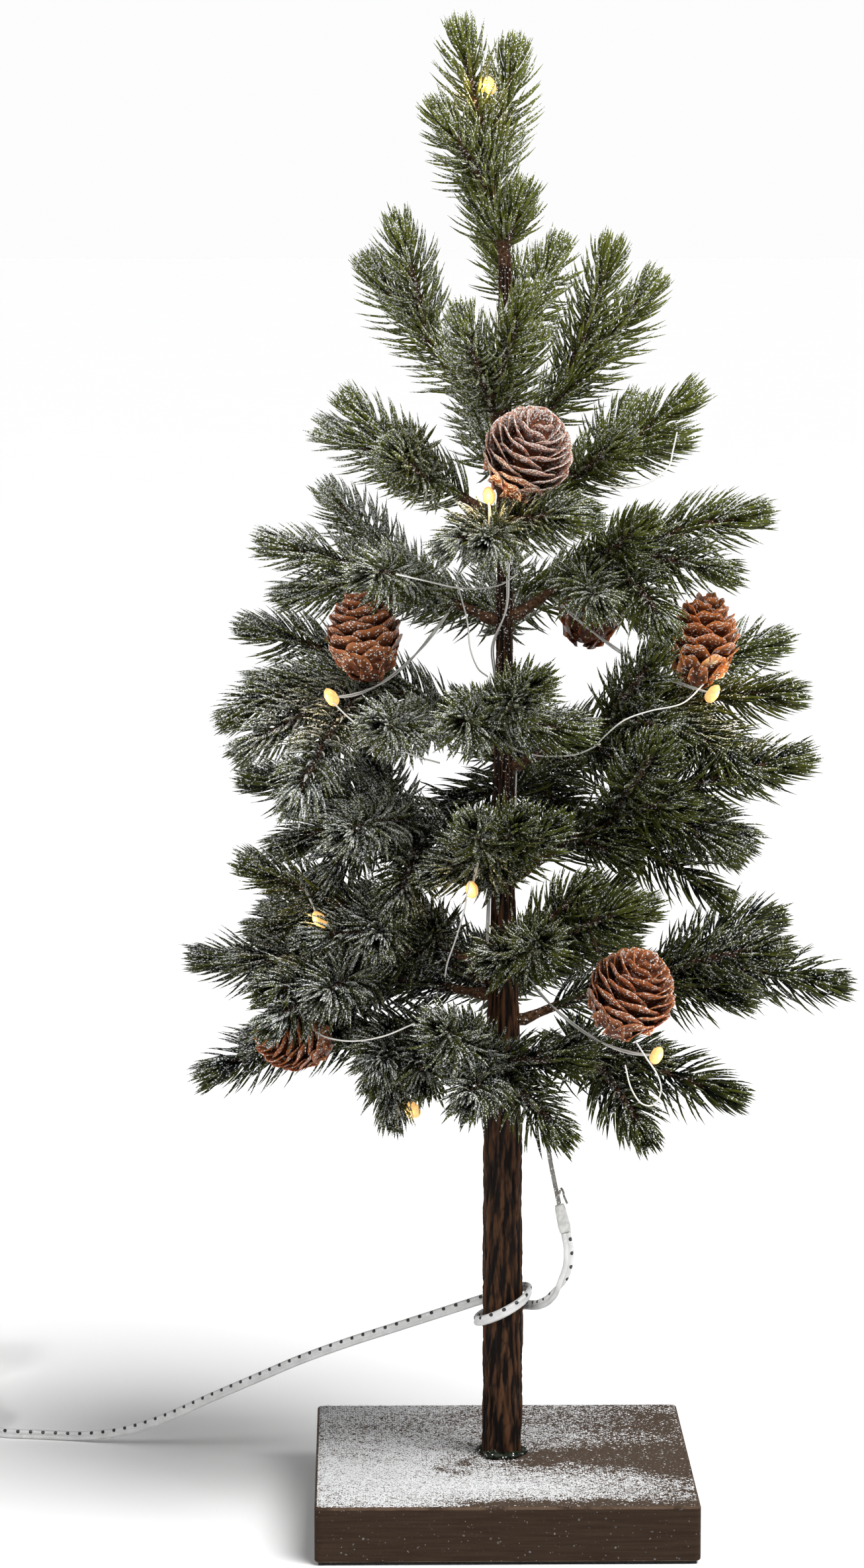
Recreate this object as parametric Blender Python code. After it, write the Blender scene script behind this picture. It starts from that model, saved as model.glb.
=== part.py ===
"""Artificial tabletop tree on a square block, with pine cones, a string of small lights and its lead.

Metres, +Z up. The origin is the centre of the underside of the base's pad, and the front is -Y.
Every branch is wired to the trunk and bends at its root, so its object's origin is on that bend.
"""

import math
from typing import NamedTuple

import bmesh
import bpy
from mathutils import Matrix, Vector

MM = 0.001
UP = Vector((0, 0, 1))

# Clearance between pieces that touch
TOUCH = 0.3 * MM
# How far a cutter reaches past the face it opens
OVERCUT = 1 * MM

# Base: a square block on a thin pad
BASE_WIDTH = 150 * MM
BASE_DEPTH = 150 * MM
BASE_HEIGHT = 22 * MM
BASE_CHAMFER = 0.8 * MM
PAD_THICKNESS = 1.0 * MM
PAD_INSET = 1.5 * MM
SOCKET_DEPTH = 12 * MM
COUNTERBORE_DEPTH = 5 * MM
COUNTERBORE_RADIUS = 6.5 * MM

# Screw that holds the trunk from below
SCREW_RADIUS = 1.8 * MM
SCREW_BITE = 12 * MM
SCREW_POINT = 3 * MM
SCREW_HEAD_RADIUS = 3.8 * MM
SCREW_HEAD_HEIGHT = 2.4 * MM
WASHER_RADIUS = 5.8 * MM
WASHER_THICKNESS = 1.0 * MM
FASTENER_SIDES = 12

# Trunk: straight at the foot, then tapered. Each step is a share of the height and of the foot's radius.
TRUNK_HEIGHT = 477 * MM
TRUNK_RADIUS = 7.8 * MM
TRUNK_TAPER = (
    (0, 1),
    (0.14, 0.97),
    (0.28, 0.98),
    (0.37, 0.76),
    (0.475, 0.59),
    (0.58, 0.45),
    (0.79, 0.38),
    (1, 0.30),
)
TRUNK_SIDES = 16
COLLAR_WIDTH = 2.6 * MM
COLLAR_HEIGHT = 2.0 * MM

# Branches: a bare wired stem, then a core of packed needles
ROOT_RADIUS = 2.2 * MM
# The root's ball as (place along the stem, radius), and where its stem begins, in shares of its radius
ROOT_BALL = ((-0.9, 0.42), (-0.55, 0.83), (0, 1), (0.55, 0.83))
ROOT_NECK = 1.6
STEM_RADIUS = 1.6 * MM
CORE_RADIUS = 4.6 * MM
CORE_TIP_RADIUS = 2.6 * MM
BARE_STEM = 16 * MM
BARE_FORK = 5 * MM
CORE_SWELL = 9 * MM
CORE_TAPER = 16 * MM
CURVE_STEP = 17 * MM
CURVE_SAMPLES = 40


class Sprig(NamedTuple):
    """Where a sprig leaves its main stem (share of its length), and where its tip is.

    The tip's reach is from the trunk's axis, its compass turns from +X towards +Y, and its rise is
    above the branch's root. The bow lifts the middle of its curve. Millimetres and degrees.
    """

    start: float
    reach: float
    compass: float
    rise: float
    bow: float = 0


# Each branch has the drop of its root below the trunk's top, in millimetres, and its sprigs. The first
# sprig carries on its main stem.
BRANCHES = {
    "branch_upper_left": (56, (Sprig(0, 58, 170, 62, -4), Sprig(0.45, 46, 199, 77))),
    "branch_upper_rear": (30, (Sprig(0, 65, 67, 41, -4), Sprig(0.35, 44, 100, 44))),
    "branch_upper_right": (68, (Sprig(0, 64, 9, 67, -4), Sprig(0.3, 44, 350, 82, -2))),
    "branch_upper_front": (66, (Sprig(0, 54, 249, 52), Sprig(0.25, 46, 280, 60))),
    "branch_second_left": (97, (Sprig(0, 67, 176, 50, -5), Sprig(0.3, 65, 224, 30, -2))),
    "branch_second_right": (93, (Sprig(0, 79, 353, 48, -5), Sprig(0.4, 64, 30, 40))),
    "branch_second_front": (97, (Sprig(0, 77, 262, -8, -1), Sprig(0.25, 70, 300, 2, 2))),
    "branch_second_rear": (88, (Sprig(0, 76, 100, 44), Sprig(0.35, 68, 70, 34))),
    "branch_third_left": (
        139,
        (Sprig(0, 99, 174, 30, 3), Sprig(0.3, 92, 141, 48), Sprig(0.25, 92, 231, 22, 5)),
    ),
    "branch_third_right": (137, (Sprig(0, 106, 3, 39, 8), Sprig(0.25, 71, 321, 42))),
    "branch_third_rear": (
        150,
        (Sprig(0, 92, 88, 36), Sprig(0.35, 92, 58, 28), Sprig(0.3, 88, 117, 16)),
    ),
    "branch_fourth_left": (190, (Sprig(0, 114, 159, 44, 8), Sprig(0.3, 115, 183, 8, 10))),
    "branch_fourth_front": (182, (Sprig(0, 97, 257, 13, 2), Sprig(0.25, 91, 278, 29, 2))),
    "branch_fourth_right": (
        197,
        (Sprig(0, 121, 2, 26, 10), Sprig(0.4, 128, 24, 43, 6), Sprig(0.3, 73, 327, 53)),
    ),
    "branch_fourth_rear": (
        214,
        (Sprig(0, 100, 76, 24), Sprig(0.3, 98, 100, 34), Sprig(0.35, 104, 50, 18)),
    ),
    "branch_fifth_left": (
        235,
        (Sprig(0, 108, 169, 31, 5), Sprig(0.35, 99, 126, 42), Sprig(0.3, 102, 229, 19, 4)),
    ),
    "branch_fifth_front": (245, (Sprig(0, 91, 260, 40), Sprig(0.3, 84, 284, 38))),
    "branch_fifth_right": (
        240,
        (Sprig(0, 124, 346, 50, 8), Sprig(0.3, 85, 315, 63), Sprig(0.35, 116, 31, -5, 8)),
    ),
    "branch_sixth_left": (277, (Sprig(0, 110, 196, 48), Sprig(0.35, 114, 148, 12, 3))),
    "branch_sixth_front": (275, (Sprig(0, 101, 278, 26), Sprig(0.3, 102, 299, 38))),
    "branch_low_left": (289, (Sprig(0, 129, 171, 12, 2), Sprig(0.3, 120, 216, 13, 3))),
    "branch_low_right": (299, (Sprig(0, 140, 0, 12, 12), Sprig(0.4, 126, 23, 32, 6))),
    "branch_low_rear": (
        296,
        (Sprig(0, 112, 92, 6, 4), Sprig(0.3, 112, 122, 14, 4), Sprig(0.3, 112, 58, 12, 4)),
    ),
    "branch_bottom_left": (308, (Sprig(0, 125, 185, -15, 12), Sprig(0.3, 79, 230, -2))),
    "branch_bottom_front": (
        312,
        (Sprig(0, 101, 260, -4, 4), Sprig(0.25, 83, 287, -21), Sprig(0.25, 112, 254, 32)),
    ),
    "branch_bottom_right": (313, (Sprig(0, 100, 348, -17, 6), Sprig(0.3, 82, 313, -26, 2))),
}
LEADER = (Sprig(0, 22, 213, 93, 0), Sprig(0.3, 15, 72, 86), Sprig(0.25, 42, 226, 61))


class Cone(NamedTuple):
    """A pine cone: its branch, where its middle is from the trunk's axis, how it leans, its size."""

    branch: str
    reach: float
    compass: float
    rise: float
    lean: float
    lean_compass: float
    radius: float
    height: float


# Rise is above the branch's root, and lean is from upright. Millimetres and degrees.
CONES = {
    "cone_top_front": Cone("branch_second_front", 44, 280, 26, 38, 300, 17.5, 37),
    "cone_left": Cone("branch_third_left", 63, 209, -3, 8, 200, 13.5, 34),
    "cone_right": Cone("branch_third_right", 79, 347, -8, 10, 330, 12, 35),
    "cone_rear": Cone("branch_third_right", 47, 40, -1, 30, 60, 12, 30),
    "cone_low_front": Cone("branch_sixth_front", 88, 302, 0, 30, 320, 17, 36),
    "cone_low_left": Cone("branch_low_left", 93, 207, -10, 78, 215, 11, 32),
}
CONE_WIRE_RADIUS = 0.9 * MM
CONE_SIDES = 10
# Share of a cone's half height at which its wire enters, and its profile in shares of radius and height
CONE_SEAT = 0.9
CONE_PROFILE = ((0.30, 0.0), (0.72, 0.14), (1.0, 0.38), (0.94, 0.58), (0.70, 0.80), (0.34, 1.0))


class Light(NamedTuple):
    """A lamp of the light string: its branch, its place from the trunk's axis, and its wire.

    Rise is above the branch's root. The wire starts at a share of the main stem's length and sags.
    """

    branch: str
    reach: float
    compass: float
    rise: float
    wire_start: float
    wire_sag: float = 0


LIGHTS = {
    "light_top": Light("leader", 15, 245, 66, 0.72),
    "light_cone_top": Light("branch_second_front", 46, 261, 10, 0.58),
    "light_left": Light("branch_third_left", 79, 211, -26, 0.15, 10),
    "light_right": Light("branch_third_right", 84, 344, -29, 0.12, 6),
    "light_middle": Light("branch_fifth_front", 62, 257, 8, 0.62),
    "light_low_front": Light("branch_sixth_front", 94, 307, -24, 0.15, 10),
    "light_low_left": Light("branch_bottom_left", 54, 228, -19, 0.2),
    "light_far_left": Light("branch_sixth_left", 83, 209, 25, 0.72),
}
LIGHT_RADIUS = 2.4 * MM
LIGHT_LENGTH = 8 * MM
LIGHT_LEAN = 35
LIGHT_SIDES = 8
LIGHT_PROFILE = ((0.5, -1), (1.0, -0.6), (1.0, 0.4), (0.4, 1))

# Light string: a pair of thin wires that climbs the trunk between the branches' roots
STRING_RADIUS = 0.7 * MM
STRING_FOOT = 150 * MM
STRING_TOP = 12 * MM
STRING_COMPASS = 314
STRING_SWING = 5
STRING_WAVES = 3
STRING_POINTS = 34

# Lead: two thin wires, a splice sleeve, then a twin cord
WIRE_RADIUS = 0.6 * MM
WIRE_SPACING = 1.7 * MM
WIRE_SIDE_COMPASS = 69.6
WIRE_POINTS = 18
SPLICE_RADIUS = 2.2 * MM
CORD_RADIUS = 2.0 * MM
# The wires' route from the trunk's string to the splice, and the splice's ends
WIRE_ROUTE = (
    (7.6, -7.2, 171),
    (12.6, -13.6, 168),
    (16.4, -18.8, 158),
    (18.4, -21.0, 147),
    (20.2, -22.0, 138),
    (21.6, -22.4, 131.3),
)
SPLICE_TOP = (21.7, -22.4, 131)
SPLICE_FOOT = (24.2, -22.6, 120)
# The cord's route: down to the trunk, round it one and a half times, over the base's rear left corner,
# and along the surface to its coil. Millimetres, as are the wires' route and the tail's.
CORD_ROUTE = (
    (24.3, -22.6, 119.7),
    (25.4, -22.4, 113),
    (25.0, -21.2, 105),
    (22.0, -18.4, 97),
    (18.2, -13.6, 90.6),
    (14.8, -7.4, 87.0),
    (12.4, -0.6, 84.9),
    (8.2, 6.9, 83.2),
    (0.6, 10.5, 81.4),
    (-7.2, 7.7, 79.6),
    (-10.6, 0.4, 78.6),
    (-7.4, -7.6, 80.6),
    (0.2, -10.6, 84.4),
    (7.6, -7.5, 88.4),
    (10.8, 0.2, 91.0),
    (8.2, 7.6, 90.4),
    (1.0, 11.4, 87.4),
    (-8.0, 13.6, 83.8),
    (-24, 18.0, 77.4),
    (-42, 25.5, 69.6),
    (-62, 36.0, 60.4),
    (-82, 48.0, 50.0),
    (-102, 61.0, 38.0),
    (-121, 74.0, 26.4),
    (-139, 86.0, 15.2),
    (-157, 96.0, 6.8),
    (-174, 103.0, 2.8),
    (-192, 107.5, 2.1),
    (-208, 110.0, 2.3),
    (-214.3, 113.5, 3.4),
)
CORD_POINTS = 78
ROUTE_SUBSTEPS = 12
# Coil of the cord's spare length, its tie, and the tail to the adapter
COIL_CENTRE = (-241, 126)
COIL_MID_RADIUS = 22 * MM
COIL_WIDTH = 13 * MM
COIL_HEIGHT = 13 * MM
COIL_RIM = 1.5 * MM
COIL_SIDES = 24
TIE_WIDTH = 6 * MM
TIE_THICKNESS = 0.6 * MM
TIE_SLACK = 0.6 * MM
TIE_COMPASS = 200
TAIL_ROUTE = (
    (-225.6, 138, 16.7),
    (-227.4, 147, 17),
    (-230, 157, 17),
    (-232.6, 166, 17),
    (-234, 173, 17),
    (-234, 178.1, 17),
)
TAIL_POINTS = 12
# Plug-in adapter, lying with its pins level
ADAPTER_CENTRE = (-248, 216, 17)
ADAPTER_SIZE = (52, 34, 33.4)
ADAPTER_BEVEL = 3 * MM
PIN_RADIUS = 2.0 * MM
PIN_LENGTH = 19 * MM
PIN_SPACING = 19 * MM
RELIEF_OFFSET = 14 * MM
RELIEF_LENGTH = 20 * MM
RELIEF_RADIUS = 3.2 * MM


def clear_scene():
    for obj in list(bpy.data.objects):
        bpy.data.objects.remove(obj, do_unlink=True)


def material(name, colour, roughness, metallic=0.0):
    found = bpy.data.materials.get(name)
    if found:
        return found
    made = bpy.data.materials.new(name)
    made.use_nodes = True
    shader = made.node_tree.nodes["Principled BSDF"]
    shader.inputs["Base Color"].default_value = (*colour, 1)
    shader.inputs["Roughness"].default_value = roughness
    shader.inputs["Metallic"].default_value = metallic
    made.diffuse_color = (*colour, 1)
    return made


def add(name, data, finish, origin=(0, 0, 0), parent=None):
    """A new object. Its data is in world coordinates and is shifted so that its origin is at origin."""
    data.transform(Matrix.Translation(-Vector(origin)))
    obj = bpy.data.objects.new(name, data)
    bpy.context.scene.collection.objects.link(obj)
    obj.location = origin
    data.materials.append(finish)
    if parent:
        obj.parent = parent
        obj.matrix_parent_inverse = Matrix.Translation(-parent.location)
    return obj


def mesh_from(bm, name):
    bmesh.ops.remove_doubles(bm, verts=bm.verts, dist=1e-7)
    bmesh.ops.recalc_face_normals(bm, faces=bm.faces)
    data = bpy.data.meshes.new(name)
    bm.to_mesh(data)
    bm.free()
    return data


def smooth(data, angle=40):
    data.shade_smooth()
    data.set_sharp_from_angle(angle=math.radians(angle))
    return data


def turned(name, profile, sides, axis_ends=True):
    """Mesh of a (radius, height) profile turned about Z, with its ends joined to the axis or not."""
    bm = bmesh.new()
    points = [Vector((radius, 0, height)) for radius, height in profile]
    if axis_ends:
        points = [Vector((0, 0, points[0].z)), *points, Vector((0, 0, points[-1].z))]
    verts = [bm.verts.new(point) for point in points]
    pairs = list(zip(verts, verts[1:]))
    if not axis_ends:
        pairs.append((verts[-1], verts[0]))
    edges = [bm.edges.new(pair) for pair in pairs]
    turn = {"axis": UP, "cent": (0, 0, 0), "angle": math.tau, "steps": sides, "use_merge": True}
    bmesh.ops.spin(bm, geom=verts + edges, **turn)
    return smooth(mesh_from(bm, name))


def box(name, low, high, bevel=0.0):
    bm = bmesh.new()
    bmesh.ops.create_cube(bm, size=1)
    low, high = Vector(low), Vector(high)
    size = high - low
    bmesh.ops.scale(bm, vec=size, verts=bm.verts)
    bmesh.ops.translate(bm, vec=(low + high) / 2, verts=bm.verts)
    if bevel:
        bmesh.ops.bevel(bm, geom=bm.edges, offset=bevel, segments=1, affect="EDGES", clamp_overlap=True)
    return mesh_from(bm, name)


def tube_curve(name, points, radii=None, depth=1.0, resolution=1):
    """Round tube along points, in metres, as a poly curve with a bevel and filled caps."""
    curve = bpy.data.curves.new(name, "CURVE")
    curve.dimensions = "3D"
    curve.bevel_depth = depth
    curve.bevel_resolution = resolution
    curve.use_fill_caps = True
    spline = curve.splines.new("POLY")
    spline.points.add(len(points) - 1)
    for i, point in enumerate(points):
        spline.points[i].co = (*point, 1)
        spline.points[i].radius = radii[i] if radii else 1.0
    return curve


def evaluated_mesh(obj):
    graph = bpy.context.evaluated_depsgraph_get()
    return bpy.data.meshes.new_from_object(obj.evaluated_get(graph))


def mesh_of_curve(curve):
    helper = bpy.data.objects.new(curve.name, curve)
    bpy.context.scene.collection.objects.link(helper)
    data = evaluated_mesh(helper)
    bpy.data.objects.remove(helper)
    return data


def combined(data, others, operation):
    """Mesh data after a Boolean with each of the other meshes in turn."""
    for other in others:
        body = bpy.data.objects.new("body", data)
        tool = bpy.data.objects.new("tool", other)
        for obj in (body, tool):
            bpy.context.scene.collection.objects.link(obj)
        step = body.modifiers.new("step", "BOOLEAN")
        step.operation = operation
        step.object = tool
        data = evaluated_mesh(body)
        bpy.data.objects.remove(body)
        bpy.data.objects.remove(tool)
    return data


def catmull_rom(a, b, c, d, t):
    """Point between b and c on the smooth curve through four points in a row."""
    square = 2 * a - 5 * b + 4 * c - d
    cube = 3 * b - a - 3 * c + d
    return (2 * b + (c - a) * t + square * t**2 + cube * t**3) / 2


def smooth_route(points, count):
    """Evenly spaced points on a smooth curve through the given points."""
    given = [Vector(point) for point in points]
    ends = [2 * given[0] - given[1], *given, 2 * given[-1] - given[-2]]
    fine = []
    for group in zip(ends, ends[1:], ends[2:], ends[3:]):
        fine += [catmull_rom(*group, step / ROUTE_SUBSTEPS) for step in range(ROUTE_SUBSTEPS)]
    fine.append(given[-1])
    along = [0.0]
    for a, b in zip(fine, fine[1:]):
        along.append(along[-1] + (b - a).length)
    result = []
    j = 0
    for i in range(count):
        goal = along[-1] * i / (count - 1)
        while j < len(along) - 2 and along[j + 1] < goal:
            j += 1
        share = (goal - along[j]) / (along[j + 1] - along[j])
        result.append(fine[j].lerp(fine[j + 1], share))
    return result


def bearing(compass):
    angle = math.radians(compass)
    return Vector((math.cos(angle), math.sin(angle), 0))


def base_bottom():
    return PAD_THICKNESS + TOUCH


def base_top():
    return base_bottom() + BASE_HEIGHT


def trunk_top():
    return base_top() + TRUNK_HEIGHT


def trunk_radius(height):
    """Radius at a height above the floor."""
    share = min(max((height - base_top()) / TRUNK_HEIGHT, 0), 1)
    for (low, thick), (high, thin) in zip(TRUNK_TAPER, TRUNK_TAPER[1:]):
        if share <= high:
            return TRUNK_RADIUS * (thick + (thin - thick) * (share - low) / (high - low))


def make_base():
    brown = material("stained_block", (0.066, 0.040, 0.026), 0.62)
    block = box(
        "base_block",
        (-BASE_WIDTH / 2, -BASE_DEPTH / 2, base_bottom()),
        (BASE_WIDTH / 2, BASE_DEPTH / 2, base_top()),
        BASE_CHAMFER,
    )
    socket_floor = base_top() - SOCKET_DEPTH
    bore = turned(
        "bore",
        (
            (COUNTERBORE_RADIUS, base_bottom() - OVERCUT),
            (COUNTERBORE_RADIUS, base_bottom() + COUNTERBORE_DEPTH),
            (SCREW_RADIUS + 2 * TOUCH, base_bottom() + COUNTERBORE_DEPTH),
            (SCREW_RADIUS + 2 * TOUCH, socket_floor),
            (TRUNK_RADIUS + TOUCH, socket_floor),
            (TRUNK_RADIUS + TOUCH, base_top() + OVERCUT),
        ),
        TRUNK_SIDES,
    )
    add("base_block", combined(block, [bore], "DIFFERENCE"), brown)
    pad = box(
        "base_pad",
        (-BASE_WIDTH / 2 + PAD_INSET, -BASE_DEPTH / 2 + PAD_INSET, 0),
        (BASE_WIDTH / 2 - PAD_INSET, BASE_DEPTH / 2 - PAD_INSET, PAD_THICKNESS),
    )
    add("base_pad", pad, material("black_foam", (0.012, 0.012, 0.012), 0.9))


def make_fastening():
    steel = material("zinc_steel", (0.55, 0.55, 0.56), 0.35, 1.0)
    seat = base_bottom() + COUNTERBORE_DEPTH
    washer_top = seat - TOUCH
    washer_bottom = washer_top - WASHER_THICKNESS
    hole = SCREW_RADIUS + 2 * TOUCH
    corners = (
        (hole, washer_bottom),
        (WASHER_RADIUS, washer_bottom),
        (WASHER_RADIUS, washer_top),
        (hole, washer_top),
    )
    washer = turned("screw_washer", corners, FASTENER_SIDES, axis_ends=False)
    add("screw_washer", washer, steel)
    head_top = washer_bottom - TOUCH
    tip = base_top() - SOCKET_DEPTH + TOUCH + SCREW_BITE
    screw = turned(
        "trunk_screw",
        (
            (SCREW_HEAD_RADIUS * 0.7, head_top - SCREW_HEAD_HEIGHT),
            (SCREW_HEAD_RADIUS, head_top - SCREW_HEAD_HEIGHT * 0.6),
            (SCREW_HEAD_RADIUS, head_top),
            (SCREW_RADIUS, head_top),
            (SCREW_RADIUS, tip - SCREW_POINT),
            (SCREW_RADIUS * 0.3, tip),
        ),
        FASTENER_SIDES,
    )
    add("trunk_screw", screw, steel)


def make_trunk():
    bark = material("bark", (0.085, 0.045, 0.025), 0.7)
    foot = base_top() - SOCKET_DEPTH + TOUCH
    profile = [(TRUNK_RADIUS, foot)]
    profile += [(TRUNK_RADIUS * thick, base_top() + TRUNK_HEIGHT * share) for share, thick in TRUNK_TAPER]
    trunk = turned("trunk", profile, TRUNK_SIDES)
    pilot = SCREW_RADIUS + TOUCH
    ends = ((pilot, foot - OVERCUT), (pilot, foot + SCREW_BITE + OVERCUT))
    hole = turned("pilot", ends, FASTENER_SIDES)
    add("trunk", combined(trunk, [hole], "DIFFERENCE"), bark)
    inner = TRUNK_RADIUS + TOUCH
    low = base_top() + TOUCH
    collar = turned(
        "glue_collar",
        (
            (inner, low),
            (inner + COLLAR_WIDTH, low),
            (inner + COLLAR_WIDTH * 0.5, low + COLLAR_HEIGHT * 0.7),
            (inner, low + COLLAR_HEIGHT),
        ),
        TRUNK_SIDES,
        axis_ends=False,
    )
    add("glue_collar", collar, material("dark_glue", (0.02, 0.025, 0.018), 0.4))


def bowed(start, end, bow, share):
    """Point at a share of the way along a curve whose middle is lifted by bow."""
    middle = (start + end) / 2 + 2 * bow * UP
    return start * (1 - share) ** 2 + middle * (2 * share * (1 - share)) + end * share**2


def needle_core(start, end, bow, bare, root):
    """Points and radii along a sprig: a bare stem, with a round root where it is hinged, then its core."""
    length = (end - start).length
    stops = []
    if root:
        way = (bowed(start, end, bow, 0.05) - start).normalized()
        for back, radius in ROOT_BALL:
            stops.append((start + way * back * ROOT_RADIUS, radius * ROOT_RADIUS))
    marks = [(ROOT_RADIUS * ROOT_NECK if root else 0, STEM_RADIUS), (bare, STEM_RADIUS)]
    marks.append((bare + CORE_SWELL, CORE_RADIUS))
    body = length - bare - CORE_SWELL - CORE_TAPER
    steps = max(1, round(body / CURVE_STEP))
    marks += [(bare + CORE_SWELL + body * (i + 1) / steps, CORE_RADIUS) for i in range(steps)]
    marks.append((length, CORE_TIP_RADIUS))
    stops += [(bowed(start, end, bow, along / length), radius) for along, radius in marks]
    return [point for point, _ in stops], [radius for _, radius in stops]


def branch_place(name):
    """A branch's root, where it bends, and the point on the trunk's axis that its tips are given from."""
    if name == "leader":
        root = UP * (trunk_top() + TOUCH + ROOT_RADIUS)
        return root, root
    drop, sprigs = BRANCHES[name]
    centre = UP * (trunk_top() - drop * MM)
    reach = trunk_radius(centre.z) + TOUCH + ROOT_RADIUS
    return centre + bearing(sprigs[0].compass) * reach, centre


def sprig_curves(name, sprigs):
    """The start, end and bow of each sprig's curve; the first is the main stem's."""
    root, centre = branch_place(name)
    tips = [centre + bearing(sprig.compass) * sprig.reach * MM + UP * sprig.rise * MM for sprig in sprigs]
    main = (root, tips[0], sprigs[0].bow * MM)
    sides = [(bowed(*main, sprig.start), tip, sprig.bow * MM) for sprig, tip in zip(sprigs[1:], tips[1:])]
    return [main, *sides]


def branch_mesh(name, sprigs):
    pieces = []
    for i, (start, end, bow) in enumerate(sprig_curves(name, sprigs)):
        points, radii = needle_core(start, end, bow, BARE_FORK if i else BARE_STEM, i == 0)
        pieces.append(mesh_of_curve(tube_curve(name, points, radii)))
    return smooth(combined(pieces[0], pieces[1:], "UNION"), 60)


def sprigs_of(name):
    return LEADER if name == "leader" else BRANCHES[name][1]


def make_branches():
    green = material("needles", (0.045, 0.075, 0.028), 0.55)
    for name in (*BRANCHES, "leader"):
        add(name, branch_mesh(name, sprigs_of(name)), green, branch_place(name)[0])


def tether(name, start, held, sag, radius):
    """Thin wire from a hung piece to just short of the core round the point of the branch that holds it."""
    away = (start - held).normalized()
    end = held + away * (CORE_RADIUS + 2 * TOUCH)
    points = [bowed(start, end, -sag, share) for share in (0, 0.2, 0.4, 0.6, 0.8, 1)]
    return mesh_of_curve(tube_curve(name, points, None, radius))


def nearest_on_branch(branch, point):
    shares = [i / CURVE_SAMPLES for i in range(CURVE_SAMPLES)]
    curves = sprig_curves(branch, sprigs_of(branch))
    spots = [bowed(*curve, share) for curve in curves for share in shares]
    return min(spots, key=lambda spot: (spot - point).length)


def on_branch(branch, reach, compass, rise):
    """World point that is given from a branch's root height."""
    return branch_place(branch)[1] + bearing(compass) * reach * MM + UP * rise * MM


def placed(data, point, lean, lean_compass):
    """Mesh leaned from upright towards a compass direction and moved to a point."""
    axis = UP.cross(bearing(lean_compass))
    data.transform(Matrix.Translation(point) @ Matrix.Rotation(math.radians(lean), 4, axis))
    return data


def hang(name, branch, shape, wire, finish):
    """Joins a shape to its wire and lets it ride on its branch."""
    parent = bpy.data.objects[branch]
    add(name, combined(shape, [wire], "UNION"), finish, parent.location, parent)


def make_cones():
    brown = material("cone_scales", (0.17, 0.055, 0.028), 0.6)
    for name, cone in CONES.items():
        half = cone.height * MM / 2
        profile = [(cone.radius * wide * MM, half * (2 * high - 1)) for wide, high in CONE_PROFILE]
        place = on_branch(cone.branch, cone.reach, cone.compass, cone.rise)
        shape = placed(turned(name, profile, CONE_SIDES), place, cone.lean, cone.lean_compass)
        lean = math.radians(cone.lean)
        axis = UP * math.cos(lean) + bearing(cone.lean_compass) * math.sin(lean)
        base = place - axis * half * CONE_SEAT
        wire = tether(name, base, nearest_on_branch(cone.branch, base), 0, CONE_WIRE_RADIUS)
        hang(name, cone.branch, shape, wire, brown)


def make_lights():
    warm = material("lamp", (1.0, 0.80, 0.45), 0.2)
    half = LIGHT_LENGTH / 2
    profile = [(LIGHT_RADIUS * wide, half * high) for wide, high in LIGHT_PROFILE]
    for name, light in LIGHTS.items():
        place = on_branch(light.branch, light.reach, light.compass, light.rise)
        shape = placed(turned(name, profile, LIGHT_SIDES), place, LIGHT_LEAN, light.compass)
        main_stem = sprig_curves(light.branch, sprigs_of(light.branch))[0]
        wire = tether(name, place, bowed(*main_stem, light.wire_start), light.wire_sag * MM, STRING_RADIUS)
        hang(name, light.branch, shape, wire, warm)


def make_light_string():
    low = STRING_FOOT + base_top()
    high = trunk_top() - STRING_TOP
    points = []
    for i in range(STRING_POINTS):
        share = i / (STRING_POINTS - 1)
        height = low + (high - low) * share
        compass = STRING_COMPASS + STRING_SWING * math.sin(math.tau * STRING_WAVES * share)
        reach = trunk_radius(height) + 2 * TOUCH + STRING_RADIUS
        points.append(bearing(compass) * reach + UP * height)
    curve = tube_curve("light_string", points, None, STRING_RADIUS)
    add("light_string", curve, material("clear_wire", (0.42, 0.40, 0.36), 0.3))


def make_lead_wires():
    grey = material("clear_wire", (0.42, 0.40, 0.36), 0.3)
    for name, side in (("lead_wire_front", -0.5), ("lead_wire_rear", 0.5)):
        shift = bearing(WIRE_SIDE_COMPASS) * side * WIRE_SPACING
        points = [point * MM + shift for point in smooth_route(WIRE_ROUTE, WIRE_POINTS)]
        add(name, tube_curve(name, points, None, WIRE_RADIUS), grey)
    ends = [Vector(SPLICE_TOP) * MM, Vector(SPLICE_FOOT) * MM]
    points = [ends[0].lerp(ends[1], share) for share in (0, 0.12, 0.5, 0.88, 1)]
    sleeve = tube_curve("splice_sleeve", points, (0.75, 1, 1, 1, 0.75), SPLICE_RADIUS, 2)
    add("splice_sleeve", sleeve, material("white_sleeve", (0.80, 0.80, 0.78), 0.35))


def coil_bottom():
    return TIE_THICKNESS + 2 * TOUCH


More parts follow.
